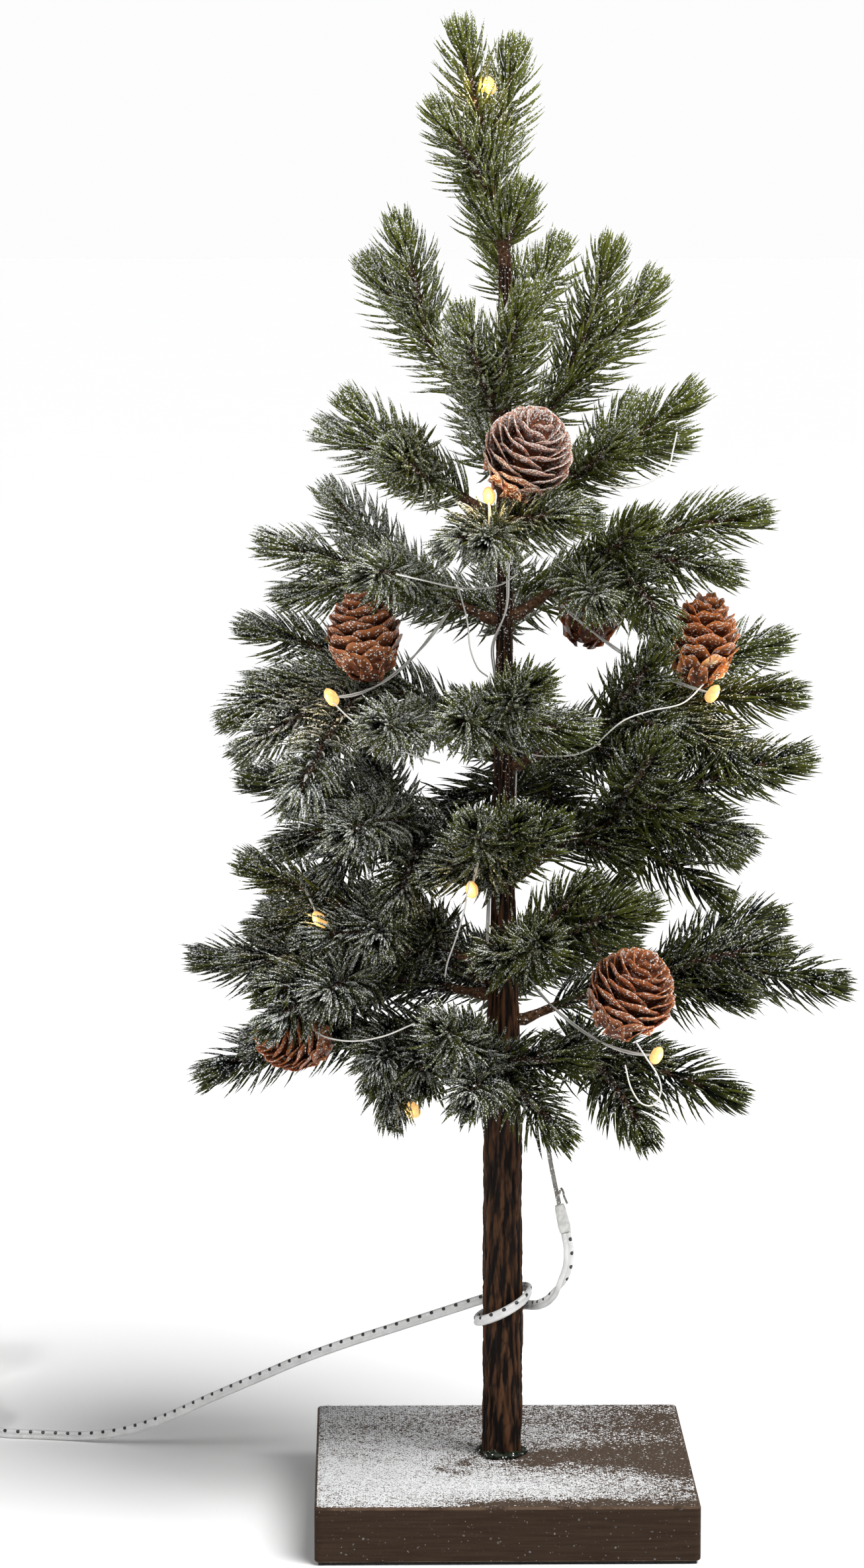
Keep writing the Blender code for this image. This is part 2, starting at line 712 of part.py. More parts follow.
def make_cord():
    white = material("white_pvc", (0.78, 0.78, 0.75), 0.35)
    route = [point * MM for point in smooth_route(CORD_ROUTE, CORD_POINTS)]
    add("cord_run", tube_curve("cord_run", route, None, CORD_RADIUS, 2), white)
    centre = Vector((*COIL_CENTRE, 0)) * MM
    inner = COIL_MID_RADIUS - COIL_WIDTH / 2
    outer = COIL_MID_RADIUS + COIL_WIDTH / 2
    low, high = coil_bottom(), coil_bottom() + COIL_HEIGHT
    ring = turned(
        "cord_coil",
        (
            (inner, low + COIL_RIM),
            (inner + COIL_RIM, low),
            (outer - COIL_RIM, low),
            (outer, low + COIL_RIM),
            (outer, high - COIL_RIM),
            (outer - COIL_RIM, high),
            (inner + COIL_RIM, high),
            (inner, high - COIL_RIM),
        ),
        COIL_SIDES,
        axis_ends=False,
    )
    ring.transform(Matrix.Translation(centre))
    add("cord_coil", ring, white)
    tail = [point * MM for point in smooth_route(TAIL_ROUTE, TAIL_POINTS)]
    add("cord_tail", tube_curve("cord_tail", tail, None, CORD_RADIUS, 2), white)


def make_coil_tie():
    """Band round the coil's section, which the coil rests on."""
    half = Vector((COIL_WIDTH / 2 + TIE_SLACK, TIE_WIDTH / 2, COIL_HEIGHT / 2 + TOUCH))
    wall = Vector((TIE_THICKNESS, 0, TIE_THICKNESS))
    band = box("coil_tie", -half - wall, half + wall)
    window = box("window", (-half.x, -TIE_WIDTH, -half.z), (half.x, TIE_WIDTH, half.z))
    band = combined(band, [window], "DIFFERENCE")
    centre = Vector((*COIL_CENTRE, 0)) * MM
    place = centre + bearing(TIE_COMPASS) * COIL_MID_RADIUS + UP * (coil_bottom() + COIL_HEIGHT / 2)
    turn = Matrix.Rotation(math.radians(TIE_COMPASS), 4, "Z")
    band.transform(Matrix.Translation(place) @ turn)
    add("coil_tie", band, material("black_tie", (0.02, 0.02, 0.02), 0.6))


def make_adapter():
    """Low-voltage adapter that lies with its round pins level, and the strain relief of its cord."""
    white = material("white_housing", (0.74, 0.74, 0.72), 0.4)
    steel = material("pin_nickel", (0.6, 0.58, 0.55), 0.3, 1.0)
    centre = Vector(ADAPTER_CENTRE) * MM
    half = Vector(ADAPTER_SIZE) * MM / 2
    add("adapter_body", box("adapter_body", centre - half, centre + half, ADAPTER_BEVEL), white)
    face = centre - Vector((half.x + TOUCH, 0, 0))
    for name, side in (("adapter_pin_front", -0.5), ("adapter_pin_rear", 0.5)):
        start = face + Vector((0, side * PIN_SPACING, 0))
        shares = (0, 0.1, 0.5, 0.9, 1)
        points = [start - Vector((PIN_LENGTH * share, 0, 0)) for share in shares]
        pin = tube_curve(name, points, (1, 1, 1, 1, 0.6), PIN_RADIUS, 2)
        add(name, pin, steel)
    mouth = centre + Vector((RELIEF_OFFSET, -half.y - TOUCH, 0))
    points = [mouth - Vector((0, RELIEF_LENGTH * share, 0)) for share in (0, 0.25, 0.6, 1)]
    relief = tube_curve("adapter_strain_relief", points, (1, 1, 0.82, 0.7), RELIEF_RADIUS, 2)
    add("adapter_strain_relief", relief, white)


def main():
    clear_scene()
    make_base()
    make_fastening()
    make_trunk()
    make_branches()
    make_cones()
    make_lights()
    make_light_string()
    make_lead_wires()
    make_cord()
    make_coil_tie()
    make_adapter()


main()
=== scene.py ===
import math
from typing import NamedTuple

import bpy
import numpy as np
from mathutils import Matrix, Vector


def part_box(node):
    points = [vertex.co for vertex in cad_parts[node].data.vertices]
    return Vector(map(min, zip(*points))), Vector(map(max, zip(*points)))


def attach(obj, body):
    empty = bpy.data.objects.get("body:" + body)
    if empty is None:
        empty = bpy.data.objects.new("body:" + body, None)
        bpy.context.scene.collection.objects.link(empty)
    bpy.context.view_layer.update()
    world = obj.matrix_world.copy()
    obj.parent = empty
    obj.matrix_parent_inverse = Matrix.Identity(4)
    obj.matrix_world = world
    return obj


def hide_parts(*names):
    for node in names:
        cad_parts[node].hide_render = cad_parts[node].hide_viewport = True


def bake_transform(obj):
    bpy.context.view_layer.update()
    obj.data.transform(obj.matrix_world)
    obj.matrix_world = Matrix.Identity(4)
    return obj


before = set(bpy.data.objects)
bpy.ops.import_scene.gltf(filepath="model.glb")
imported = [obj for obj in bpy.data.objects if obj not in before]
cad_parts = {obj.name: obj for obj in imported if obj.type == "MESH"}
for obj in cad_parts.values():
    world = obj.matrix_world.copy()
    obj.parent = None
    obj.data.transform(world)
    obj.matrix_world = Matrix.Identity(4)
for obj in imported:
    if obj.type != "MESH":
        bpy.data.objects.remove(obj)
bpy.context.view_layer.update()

# Looks of the frosted tabletop tree on its block. Metres, +Z up, and the front is -Y.
MM = 0.001
UP = np.array((0.0, 0.0, 1.0))
GOLDEN_ANGLE = math.pi * (3 - math.sqrt(5))
SEED = 7

# Camera: where it stands, how far it looks down and to the right, and its lens on a 36 mm film
CAMERA_PLACE = (-0.0559, -1.8503, 0.5487)
CAMERA_DOWN = 7.782
CAMERA_RIGHT = 0.855
CAMERA_LENS = 108.56


# ---------------------------------------------------------------- vectors, routes and meshes


def bearing(compass):
    angle = math.radians(compass)
    return np.array((math.cos(angle), math.sin(angle), 0.0))


def unit(vectors):
    return vectors / np.linalg.norm(vectors, axis=-1, keepdims=True)


def smooth_step(x, low=0.0, high=1.0):
    t = np.clip((x - low) / (high - low), 0, 1)
    return t * t * (3 - 2 * t)


def catmull_rom(points, substeps):
    """Points on a smooth curve through the given points, substeps to each stretch."""
    points = np.asarray(points, float)
    padded = np.vstack([2 * points[0] - points[1], points, 2 * points[-1] - points[-2]])
    a, b, c, d = (padded[i : len(padded) - 3 + i, None] for i in range(4))
    t = (np.arange(substeps) / substeps)[None, :, None]
    square = 2 * a - 5 * b + 4 * c - d
    cube = 3 * b - a - 3 * c + d
    curve = (2 * b + (c - a) * t + square * t**2 + cube * t**3) / 2
    return np.vstack([curve.reshape(-1, 3), points[-1:]])


def evenly(line, step):
    """The line again, with points a step apart."""
    along = np.concatenate([[0], np.cumsum(np.linalg.norm(np.diff(line, axis=0), axis=1))])
    at = np.linspace(0, along[-1], max(2, round(along[-1] / step) + 1))
    return np.stack([np.interp(at, along, line[:, k]) for k in range(3)], axis=1)


def smooth_route(points, step):
    return evenly(catmull_rom(points, 12), step)


def bowed(start, end, bow, share):
    """Points at shares of the way along a curve whose middle is lifted by bow."""
    share = np.asarray(share, float)[..., None]
    middle = (start + end) / 2 + 2 * bow * UP
    return start * (1 - share) ** 2 + middle * (2 * share * (1 - share)) + end * share**2


def tangents_of(path):
    return unit(np.gradient(path, axis=0))


def carried_sides(path, first):
    """A side direction at each point of a path, which turns as little as possible."""
    sides = np.empty_like(path)
    side = np.asarray(first, float)
    for i, tangent in enumerate(tangents_of(path)):
        side = unit(side - (side @ tangent) * tangent)
        sides[i] = side
    return sides


def any_side(path):
    """A direction across the start of a path."""
    tangent = tangents_of(path)[0]
    return np.cross(tangent, UP if abs(tangent[2]) < 0.9 else np.array((1.0, 0, 0)))


def turned_sides(path, sides, angles):
    """Side directions turned about the path by these angles."""
    tangents = tangents_of(path)
    others = np.cross(tangents, sides)
    angles = np.asarray(angles, float).reshape(-1, 1)
    return sides * np.cos(angles) + others * np.sin(angles)


def swept(path, sections, sides):
    """Points and faces of closed sections of (side, other) pairs, one for each point of a path."""
    tangents = tangents_of(path)
    others = np.cross(tangents, sides)
    points = path[:, None] + sections[..., :1] * sides[:, None] + sections[..., 1:] * others[:, None]
    rings, corners = points.shape[:2]
    return points.reshape(-1, 3), [*ring_faces(rings, corners), *ring_caps(rings, corners)]


def ring_faces(rings, corners):
    """Four-sided faces between one ring of points and the next."""
    ring = np.arange(rings - 1)[:, None] * corners
    corner = np.arange(corners)[None]
    after = (corner + 1) % corners
    quads = [ring + corner, ring + after, ring + corners + after, ring + corners + corner]
    return [np.stack(quads, axis=-1).reshape(-1, 4)]


def ring_caps(rings, corners):
    """One face over the first ring and one over the last."""
    start = np.arange(corners)[::-1]
    end = (rings - 1) * corners + np.arange(corners)
    return [start[None], end[None]]


def circle(sides):
    angles = np.arange(sides) * math.tau / sides
    return np.stack([np.cos(angles), np.sin(angles)], axis=1)


def tube(path, radii, sides=8):
    """Points and faces of a round tube with closed ends."""
    path = np.asarray(path, float)
    radii = np.broadcast_to(np.asarray(radii, float), len(path))
    return swept(path, circle(sides)[None] * radii[:, None, None], carried_sides(path, any_side(path)))


def merged(parts):
    """Points and faces of several shapes as one."""
    points = np.vstack([part[0] for part in parts])
    faces = []
    offset = 0
    for part_points, part_faces in parts:
        faces += [group + offset for group in part_faces]
        offset += len(part_points)
    return points, faces


def mesh_object(name, shape, finishes, slots=None, flat=False, **attributes):
    """A mesh object of (points, groups of faces). Attributes hold one number for each point."""
    points, faces = shape
    corners = np.concatenate([np.asarray(group).ravel() for group in faces])
    sizes = np.concatenate([np.full(len(group), group.shape[1]) for group in faces])
    starts = np.concatenate([[0], np.cumsum(sizes)[:-1]])
    mesh = bpy.data.meshes.new(name)
    mesh.vertices.add(len(points))
    mesh.vertices.foreach_set("co", np.asarray(points, np.float32).ravel())
    mesh.loops.add(len(corners))
    mesh.loops.foreach_set("vertex_index", corners.astype(np.int32))
    mesh.polygons.add(len(sizes))
    mesh.polygons.foreach_set("loop_start", starts.astype(np.int32))
    if slots is not None:
        mesh.polygons.foreach_set("material_index", np.asarray(slots, np.int32))
    mesh.update(calc_edges=True)
    for key, values in attributes.items():
        layer = mesh.attributes.new(key, "FLOAT", "POINT")
        layer.data.foreach_set("value", np.asarray(values, np.float32))
    for finish in finishes if isinstance(finishes, (list, tuple)) else [finishes]:
        mesh.materials.append(finish)
    if not flat:
        mesh.shade_smooth()
    obj = bpy.data.objects.new(name, mesh)
    bpy.context.scene.collection.objects.link(obj)
    return obj


def sharp_above(obj, degrees):
    obj.data.set_sharp_from_angle(angle=math.radians(degrees))


def settle(obj, body, slot, *nodes):
    """Put a piece on its body, in place of the solids that it stands for. The slot is not used."""
    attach(obj, body)
    if nodes:
        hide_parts(*nodes)


def ripples(seed, points, cell, layers=3):
    """Smooth noise from -1 to 1 at these points, as a sum of waves in seeded directions."""
    rng = np.random.default_rng(seed)
    total = np.zeros(len(points))
    weight = 0.0
    cell = np.broadcast_to(np.asarray(cell, float), 3)
    for layer in range(layers):
        share = 0.55**layer
        for _ in range(7):
            direction = unit(rng.normal(size=3)) * 2**layer / cell * rng.uniform(0.7, 1.3)
            total += share * np.sin(points @ direction * math.tau + rng.uniform(0, math.tau))
        weight += share
    return total / (weight * math.sqrt(7 / 2) * 1.6)


# ---------------------------------------------------------------- materials


class Finish:
    """A node material with one Principled shader, and short calls for the nodes it is built from."""

    def __init__(self, name, **sockets):
        self.data = bpy.data.materials.new(name)
        self.data.use_nodes = True
        self.tree = self.data.node_tree
        self.shader = self.tree.nodes["Principled BSDF"]
        self.place = self.node("TexCoord").outputs["Object"]
        for key, value in sockets.items():
            self.put(key.replace("_", " "), value)

    def feed(self, socket, value):
        if isinstance(value, bpy.types.NodeSocket):
            self.tree.links.new(value, socket)
        elif isinstance(value, (tuple, list)) and len(value) == 3 and socket.type == "RGBA":
            socket.default_value = (*value, 1)
        else:
            socket.default_value = value

    def put(self, name, value):
        self.feed(self.shader.inputs[name], value)

    def node(self, kind, inputs=(), **settings):
        made = self.tree.nodes.new("ShaderNode" + kind)
        for key, value in settings.items():
            setattr(made, key, value)
        for key, value in dict(inputs).items():
            self.feed(made.inputs[key], value)
        return made

    def attribute(self, name):
        return self.node("Attribute", attribute_name=name).outputs["Fac"]

    def stretched(self, x, y, z):
        """The piece's own coordinates, divided by a size along each axis."""
        return self.node("Mapping", {"Vector": self.place, "Scale": (1 / x, 1 / y, 1 / z)}).outputs[0]

    def noise(self, size, detail=3.0, vector=None):
        inputs = {"Vector": vector or self.place, "Scale": 1 / size, "Detail": detail, "Roughness": 0.55}
        return self.node("TexNoise", inputs).outputs["Fac"]

    def cells(self, size):
        """Distance from the middle of a grain, and a random number for each grain."""
        made = self.node("TexVoronoi", {"Vector": self.place, "Scale": 1 / size})
        parts = self.node("SeparateColor", {"Color": made.outputs["Color"]})
        return made.outputs["Distance"], parts.outputs[0]

    def math(self, operation, *values):
        made = self.node("Math", operation=operation)
        for socket, value in zip(made.inputs, values):
            self.feed(socket, value)
        return made.outputs[0]

    def ramp(self, value, low, high, to_low=0.0, to_high=1.0):
        """The value taken smoothly from one range to another."""
        inputs = {"Value": value, 1: low, 2: high, 3: to_low, 4: to_high}
        return self.node("MapRange", inputs, interpolation_type="SMOOTHSTEP").outputs[0]

    def mix(self, share, first, second):
        made = self.node("Mix", data_type="RGBA")
        self.feed(made.inputs[0], share)
        self.feed(made.inputs[6], first)
        self.feed(made.inputs[7], second)
        return made.outputs[2]

    def bump(self, height, distance, strength=0.6):
        inputs = {"Height": height, "Distance": distance, "Strength": strength}
        self.put("Normal", self.node("Bump", inputs).outputs[0])

    def grains(self, size, amount):
        """1 on grains of frost. The amount, from 0 to 1, is the share of cells that hold one."""
        distance, chance = self.cells(size)
        held = self.ramp(self.math("SUBTRACT", amount, chance), -0.04, 0.04)
        return self.math("MULTIPLY", held, self.ramp(distance, 0.62, 0.45))


FROST_WHITE = (0.80, 0.82, 0.83)


def needle_finish():
    """Moulded needles: olive at the tip and dark green at the foot, where painted shade darkens the inside of
    the sprig; painted light makes sprigs high up and in front lighter and low ones darker; with grains of
    frost.
    """
    made = Finish("needles", Roughness=0.5, Specular_IOR_Level=0.10)
    tint = made.attribute("tint")
    along = made.attribute("along")
    # Painted light and shade: the tint is lighter high up and in front and darker low down, and each needle
    # is painted darker towards its foot as shade inside the sprig.
    tone = made.math("ADD", made.math("MULTIPLY", tint, 0.9), made.math("MULTIPLY", along, 0.40))
    patch = made.ramp(made.noise(9 * MM), 0.35, 0.7, -0.14, 0.14)
    green = made.mix(made.math("ADD", tone, patch), (0.0016, 0.004, 0.0016), (0.138, 0.154, 0.021))
    # The frost amount is partly painted shade: thinner low on the right and at each needle's foot.
    frost = made.attribute("frost")
    fine = made.grains(0.62 * MM, frost)
    film = made.math("MULTIPLY", made.ramp(frost, 0.3, 1.1, 0.0, 0.16), made.noise(1.4 * MM))
    snowy = made.math("MAXIMUM", fine, film)
    made.put("Base Color", made.mix(snowy, green, FROST_WHITE))
    made.put("Roughness", made.ramp(snowy, 0, 1, 0.42, 0.8))
    made.bump(fine, 0.12 * MM)
    return made.data


def stem_finish():
    made = Finish("stem_bark", Roughness=0.75, Specular_IOR_Level=0.10)
    grain = made.noise(1.2 * MM)
    brown = made.mix(made.ramp(grain, 0.35, 0.7), (0.030, 0.017, 0.010), (0.135, 0.066, 0.033))
    frost = made.grains(0.55 * MM, made.attribute("frost"))
    made.put("Base Color", made.mix(frost, brown, FROST_WHITE))
    made.bump(grain, 0.3 * MM)
    return made.data


def bark_finish():
    """Moulded bark: upright fibres, with painted shade dark in the cracks, a painted red-brown highlight on
    the ridges and upright painted highlight streaks.
    """
    made = Finish("bark", Roughness=0.62, Specular_IOR_Level=0.10)
    fibre = made.noise(1, 5.0, made.stretched(1.3 * MM, 1.3 * MM, 14 * MM))
    broad = made.noise(1, 2.0, made.stretched(5 * MM, 5 * MM, 30 * MM))
    ridge = made.attribute("ridge")
    # Painted shade and highlight: the cracks are painted dark and the ridges a lit red-brown, mixed with the
    # fibres.
    tone = made.math("ADD", made.math("MULTIPLY", ridge, 0.55), made.math("MULTIPLY", fibre, 0.7))
    wood = made.mix(made.ramp(tone, 0.42, 0.95), (0.004, 0.0024, 0.0018), (0.075, 0.033, 0.015))
    # Painted highlight: upright streaks of paler red-brown.
    wood = made.mix(made.ramp(broad, 0.55, 0.75, 0.0, 0.35), wood, (0.110, 0.048, 0.020))
    frost = made.grains(0.5 * MM, made.attribute("frost"))
    made.put("Base Color", made.mix(frost, wood, FROST_WHITE))
    made.put("Roughness", made.ramp(fibre, 0.3, 0.7, 0.72, 0.48))
    made.bump(fibre, 0.5 * MM, 0.8)
    return made.data


def block_finish():
    """Stained block: fine brushed grain, a pale painted highlight along its edges, painted light that makes
    its top lighter than its sides, and drifts of snow grains on top.
    """
    made = Finish("stained_block", Roughness=0.62, Specular_IOR_Level=0.08)
    brush = made.noise(1, 4.0, made.stretched(26 * MM, 26 * MM, 1.1 * MM))
    fleck = made.noise(0.8 * MM, 2.0)
    side = made.mix(made.ramp(brush, 0.25, 0.8), (0.022, 0.0125, 0.0075), (0.038, 0.023, 0.0145))
    side = made.mix(made.ramp(fleck, 0.55, 0.8, 0, 0.25), side, (0.060, 0.043, 0.032))
    # Painted highlight: the bevelled edges are painted paler, in patches.
    edge_highlight = made.ramp(made.math("MULTIPLY", made.attribute("edge"), made.noise(7 * MM)), 0.25, 0.6, 0, 0.75)
    wood = made.mix(edge_highlight, side, (0.105, 0.068, 0.045))
    # Painted light: the top is painted a lighter brown than the sides.
    top = made.mix(made.ramp(fleck, 0.3, 0.7), (0.052, 0.035, 0.024), (0.088, 0.062, 0.045))
    wood = made.mix(made.attribute("top"), wood, top)
    snow = made.attribute("snow")
    uneven = made.ramp(made.noise(2.5 * MM), 0.3, 0.7, -0.16, 0.16)
    patchy = made.math("ADD", snow, made.math("MULTIPLY", uneven, made.ramp(snow, 0.05, 0.3)))
    grains = made.grains(0.95 * MM, made.math("MULTIPLY", patchy, 0.95))
    second = made.grains(0.5 * MM, patchy)
    film = made.ramp(patchy, 0.55, 1.25, 0.0, 0.40)
    white = made.math("MAXIMUM", made.math("MAXIMUM", grains, second), film)
    made.put("Base Color", made.mix(white, wood, (0.74, 0.745, 0.75)))
    made.put("Roughness", made.ramp(white, 0, 1, 0.58, 0.85))
    made.bump(made.math("ADD", grains, made.math("MULTIPLY", brush, 0.2)), 0.25 * MM)
    return made.data


def grain_finish():
    made = Finish("snow_grains", Roughness=0.35, Specular_IOR_Level=0.7)
    made.put("Base Color", made.mix(made.noise(0.9 * MM), (0.66, 0.68, 0.70), (0.95, 0.95, 0.95)))
    made.put("Roughness", made.ramp(made.noise(1.7 * MM), 0.35, 0.65, 0.12, 0.6))
    return made.data


def cone_finish(name, glow):
    """Thin resin scales: red-brown, with a lamp's glow painted on them as orange where glow is high, frosted
    at the rims.
    """
    made = Finish(name, Roughness=0.42, Specular_IOR_Level=0.3, Subsurface_Weight=0.25)
    made.put("Subsurface Scale", 1.5 * MM)
    made.put("Subsurface Radius", (1.0, 0.35, 0.15))
    mottle = made.noise(2.2 * MM)
    rim = made.attribute("rim")
    dark = made.mix(made.ramp(mottle, 0.3, 0.7), (0.040, 0.011, 0.005), (0.185, 0.054, 0.019))
    # Painted light: glow mixes a lamp's orange light into the colour of the rims.
    warm = made.mix(glow, (0.330, 0.112, 0.044), (0.600, 0.200, 0.042))
    brown = made.mix(made.ramp(rim, 0.1, 0.95), dark, warm)
    frost = made.attribute("frost")
    grains = made.grains(0.7 * MM, frost)
    film = made.math("MULTIPLY", made.ramp(frost, 0.4, 1.0, 0.0, 0.32), made.noise(1.1 * MM))
    snowy = made.math("MAXIMUM", grains, film)
    made.put("Base Color", made.mix(snowy, brown, (0.76, 0.74, 0.72)))
    made.put("Roughness", made.ramp(snowy, 0, 1, 0.34, 0.8))
    made.bump(made.math("ADD", grains, made.math("MULTIPLY", mottle, 0.5)), 0.2 * MM)
    return made.data


LAMP_CORE = 16.0


def lamp_finish():
    """Warm drop of clear resin, brightest round the chip in its middle."""
    made = Finish("lamp", Roughness=0.15, Specular_IOR_Level=0.5)
    heat = made.attribute("heat")
    speck = made.noise(1.1 * MM, 2.0)
    made.put("Base Color", made.mix(heat, (0.60, 0.35, 0.12), (0.90, 0.78, 0.55)))
    made.put("Emission Color", made.mix(made.ramp(heat, 0.3, 0.9), (1.0, 0.56, 0.20), (1.0, 0.88, 0.60)))
    core = made.ramp(heat, 0.55, 1.0, 0.75, LAMP_CORE)
    made.put("Emission Strength", made.math("MULTIPLY", core, made.ramp(speck, 0.2, 0.8, 0.75, 1.25)))
    return made.data


def clear_wire_finish():
    made = Finish("clear_wire", Roughness=0.28, Specular_IOR_Level=0.6, Coat_Weight=0.4)
    tone = made.noise(3 * MM, 3.0)
    grey = made.mix(made.ramp(tone, 0.3, 0.7), (0.10, 0.092, 0.078), (0.25, 0.235, 0.205))
    frost = made.grains(0.5 * MM, 0.12)
    made.put("Base Color", made.mix(frost, grey, FROST_WHITE))
    made.put("Roughness", made.ramp(tone, 0.3, 0.7, 0.22, 0.42))
    return made.data


DOT_SPACING = 5.5 * MM
DOT_RADIUS = 0.85 * MM


def cord_finish():
    """White twin cord: round black tracer dots along one core, with a little dust of frost."""
    made = Finish("white_pvc", Roughness=0.38, Specular_IOR_Level=0.5, Coat_Weight=0.25)
    share = made.math("FRACT", made.math("DIVIDE", made.attribute("along"), DOT_SPACING))
    ahead = made.math("MULTIPLY", made.math("SUBTRACT", share, 0.5), DOT_SPACING)
    aside = made.attribute("aside")
    squares = [made.math("MULTIPLY", value, value) for value in (ahead, aside)]
    away = made.math("SQRT", made.math("ADD", *squares))
    wobble = made.math("MULTIPLY", made.noise(0.9 * MM), 0.3 * MM)
    dot = made.ramp(made.math("ADD", away, wobble), DOT_RADIUS + 0.22 * MM, DOT_RADIUS + 0.05 * MM)
    cloud = made.noise(6 * MM)
    white = made.mix(made.ramp(cloud, 0.3, 0.7), (0.60, 0.60, 0.595), (0.72, 0.72, 0.715))
    dust = made.grains(0.5 * MM, made.ramp(made.noise(14 * MM), 0.5, 0.8, 0, 0.25))
    white = made.mix(dust, white, (0.85, 0.85, 0.85))
    made.put("Base Color", made.mix(dot, white, (0.012, 0.012, 0.013)))
    made.put("Roughness", made.ramp(cloud, 0.3, 0.7, 0.30, 0.46))
    made.bump(made.math("ADD", dust, made.math("MULTIPLY", cloud, 0.4)), 0.08 * MM)
    return made.data


def sleeve_finish():
    made = Finish("white_sleeve", Roughness=0.3, Specular_IOR_Level=0.5, Coat_Weight=0.3)
    tone = made.noise(2.4 * MM, 3.0)
    made.put("Base Color", made.mix(made.ramp(tone, 0.3, 0.7), (0.50, 0.50, 0.48), (0.70, 0.70, 0.68)))
    made.put("Roughness", made.ramp(tone, 0.3, 0.7, 0.22, 0.4))
    made.bump(made.noise(1.0 * MM), 0.15 * MM)
    return made.data


def plastic_finish(name, colour):
    """Moulded plastic with a fine eroded texture."""
    made = Finish(name, Roughness=0.45, Specular_IOR_Level=0.45)
    soft = made.noise(9 * MM, 2.0)
    darker = tuple(part * 0.9 for part in colour)
    made.put("Base Color", made.mix(made.ramp(soft, 0.3, 0.7), darker, colour))
    made.put("Roughness", made.ramp(made.noise(4 * MM), 0.3, 0.7, 0.38, 0.55))
    made.bump(made.noise(0.35 * MM, 2.0), 0.05 * MM, 0.5)
    return made.data


def metal_finish(name, colour):
    made = Finish(name, Metallic=1.0, Roughness=0.3)
    streak = made.noise(1, 3.0, made.stretched(0.4 * MM, 0.4 * MM, 5 * MM))
    darker = tuple(part * 0.7 for part in colour)
    made.put("Base Color", made.mix(made.ramp(streak, 0.3, 0.7), darker, colour))
    made.put("Roughness", made.ramp(streak, 0.3, 0.7, 0.22, 0.42))
    made.bump(streak, 0.05 * MM, 0.4)
    return made.data


def foam_finish():
    made = Finish("black_foam", Roughness=0.95)
    distance, chance = made.cells(0.7 * MM)
    made.put("Base Color", made.mix(chance, (0.006, 0.006, 0.006), (0.022, 0.022, 0.022)))
    made.bump(distance, 0.3 * MM)
    return made.data


def glue_finish():
    made = Finish("dark_glue", Roughness=0.4, Specular_IOR_Level=0.15)
    tone = made.noise(1.6 * MM)
    dark = made.mix(made.ramp(tone, 0.35, 0.65), (0.003, 0.004, 0.0025), (0.014, 0.019, 0.010))
    made.put("Base Color", made.mix(made.grains(0.6 * MM, 0.10), dark, FROST_WHITE))
    made.put("Roughness", made.ramp(tone, 0.3, 0.7, 0.2, 0.55))
    made.bump(tone, 0.4 * MM)
    return made.data


# ---------------------------------------------------------------- camera, lights and floor


def make_camera():
    data = bpy.data.cameras.new("camera")
    data.lens = CAMERA_LENS
    data.clip_start = 0.05
    camera = bpy.data.objects.new("camera", data)
    camera.location = CAMERA_PLACE
    camera.rotation_euler = (math.radians(90 - CAMERA_DOWN), 0, math.radians(-CAMERA_RIGHT))
    bpy.context.scene.collection.objects.link(camera)
    bpy.context.scene.camera = camera


def soft_light(name, place, aim, size, power):
    data = bpy.data.lights.new(name, "AREA")
    data.shape = "DISK"
    data.size = size
    data.energy = power
    light = bpy.data.objects.new(name, data)
    light.location = place
    light.rotation_euler = (Vector(aim) - Vector(place)).to_track_quat("-Z", "Y").to_euler()
    bpy.context.scene.collection.objects.link(light)


FLOOR_SIZE = 40.0
AMBIENT = 0.12
WALL_BRIGHTNESS = 0.98
# Sines of the elevations where the walls start to dim, and where the ceiling starts
WALL_RISE = (0.05, 0.24)
SUN_STRENGTH = 3.5
SUN_SPREAD = 36
SUN_TILT = (-24, -27, 0)


def make_world(scene):
    """A studio with bright walls low down and a dimmer ceiling."""
    world = bpy.data.worlds.new("studio")
    world.use_nodes = True
    tree = world.node_tree
    direction = tree.nodes.new("ShaderNodeTexCoord").outputs["Generated"]
    parts = tree.nodes.new("ShaderNodeSeparateXYZ")
    level = tree.nodes.new("ShaderNodeMapRange")
    level.interpolation_type = "SMOOTHSTEP"
    tree.links.new(direction, parts.inputs[0])
    tree.links.new(parts.outputs["Z"], level.inputs["Value"])
    for key, value in enumerate((*WALL_RISE, WALL_BRIGHTNESS, AMBIENT), start=1):
        level.inputs[key].default_value = value
    background = tree.nodes["Background"]
    background.inputs["Color"].default_value = (1, 1, 1, 1)
    tree.links.new(level.outputs[0], background.inputs["Strength"])
    scene.world = world


def make_sun():
    """A very wide soft light from the upper left in front."""
    data = bpy.data.lights.new("soft_sun", "SUN")
    data.energy = SUN_STRENGTH
    data.angle = math.radians(SUN_SPREAD)
    sun = bpy.data.objects.new("soft_sun", data)
    sun.rotation_euler = [math.radians(-angle) for angle in SUN_TILT]
    bpy.context.scene.collection.objects.link(sun)


def make_studio():
    scene = bpy.context.scene
    scene.view_settings.view_transform = "Standard"
    make_world(scene)
    make_sun()
    soft_light("key", (-1.1, -1.6, 1.5), (0, 0, 0.35), 0.7, 14)
    soft_light("rim", (1.3, -0.5, 1.3), (0, 0, 0.35), 0.6, 7)
    half = FLOOR_SIZE / 2
    corners = np.array([(-half, -half, 0), (half, -half, 0), (half, half, 0), (-half, half, 0)], float)
    paper = Finish("paper", Roughness=0.9, Specular_IOR_Level=0.1)
    paper.put("Base Color", paper.mix(paper.noise(0.5), (0.965, 0.965, 0.965), (0.98, 0.98, 0.98)))
    floor = mesh_object("floor", (corners, [np.array([[0, 1, 2, 3]])]), paper.data)


# ---------------------------------------------------------------- lead: wires, splice, cord, coil


CORD_WIDTH = 4.0 * MM
CORD_CORE_RADIUS = 1.08 * MM
CORD_STEP = 1.5 * MM
LOBE_POINTS = 10
DOT_ANGLE = 70
WIRE_RADIUS = 0.6 * MM
WIRE_SPACING = 1.7 * MM
WIRE_SIDE_COMPASS = 69.6
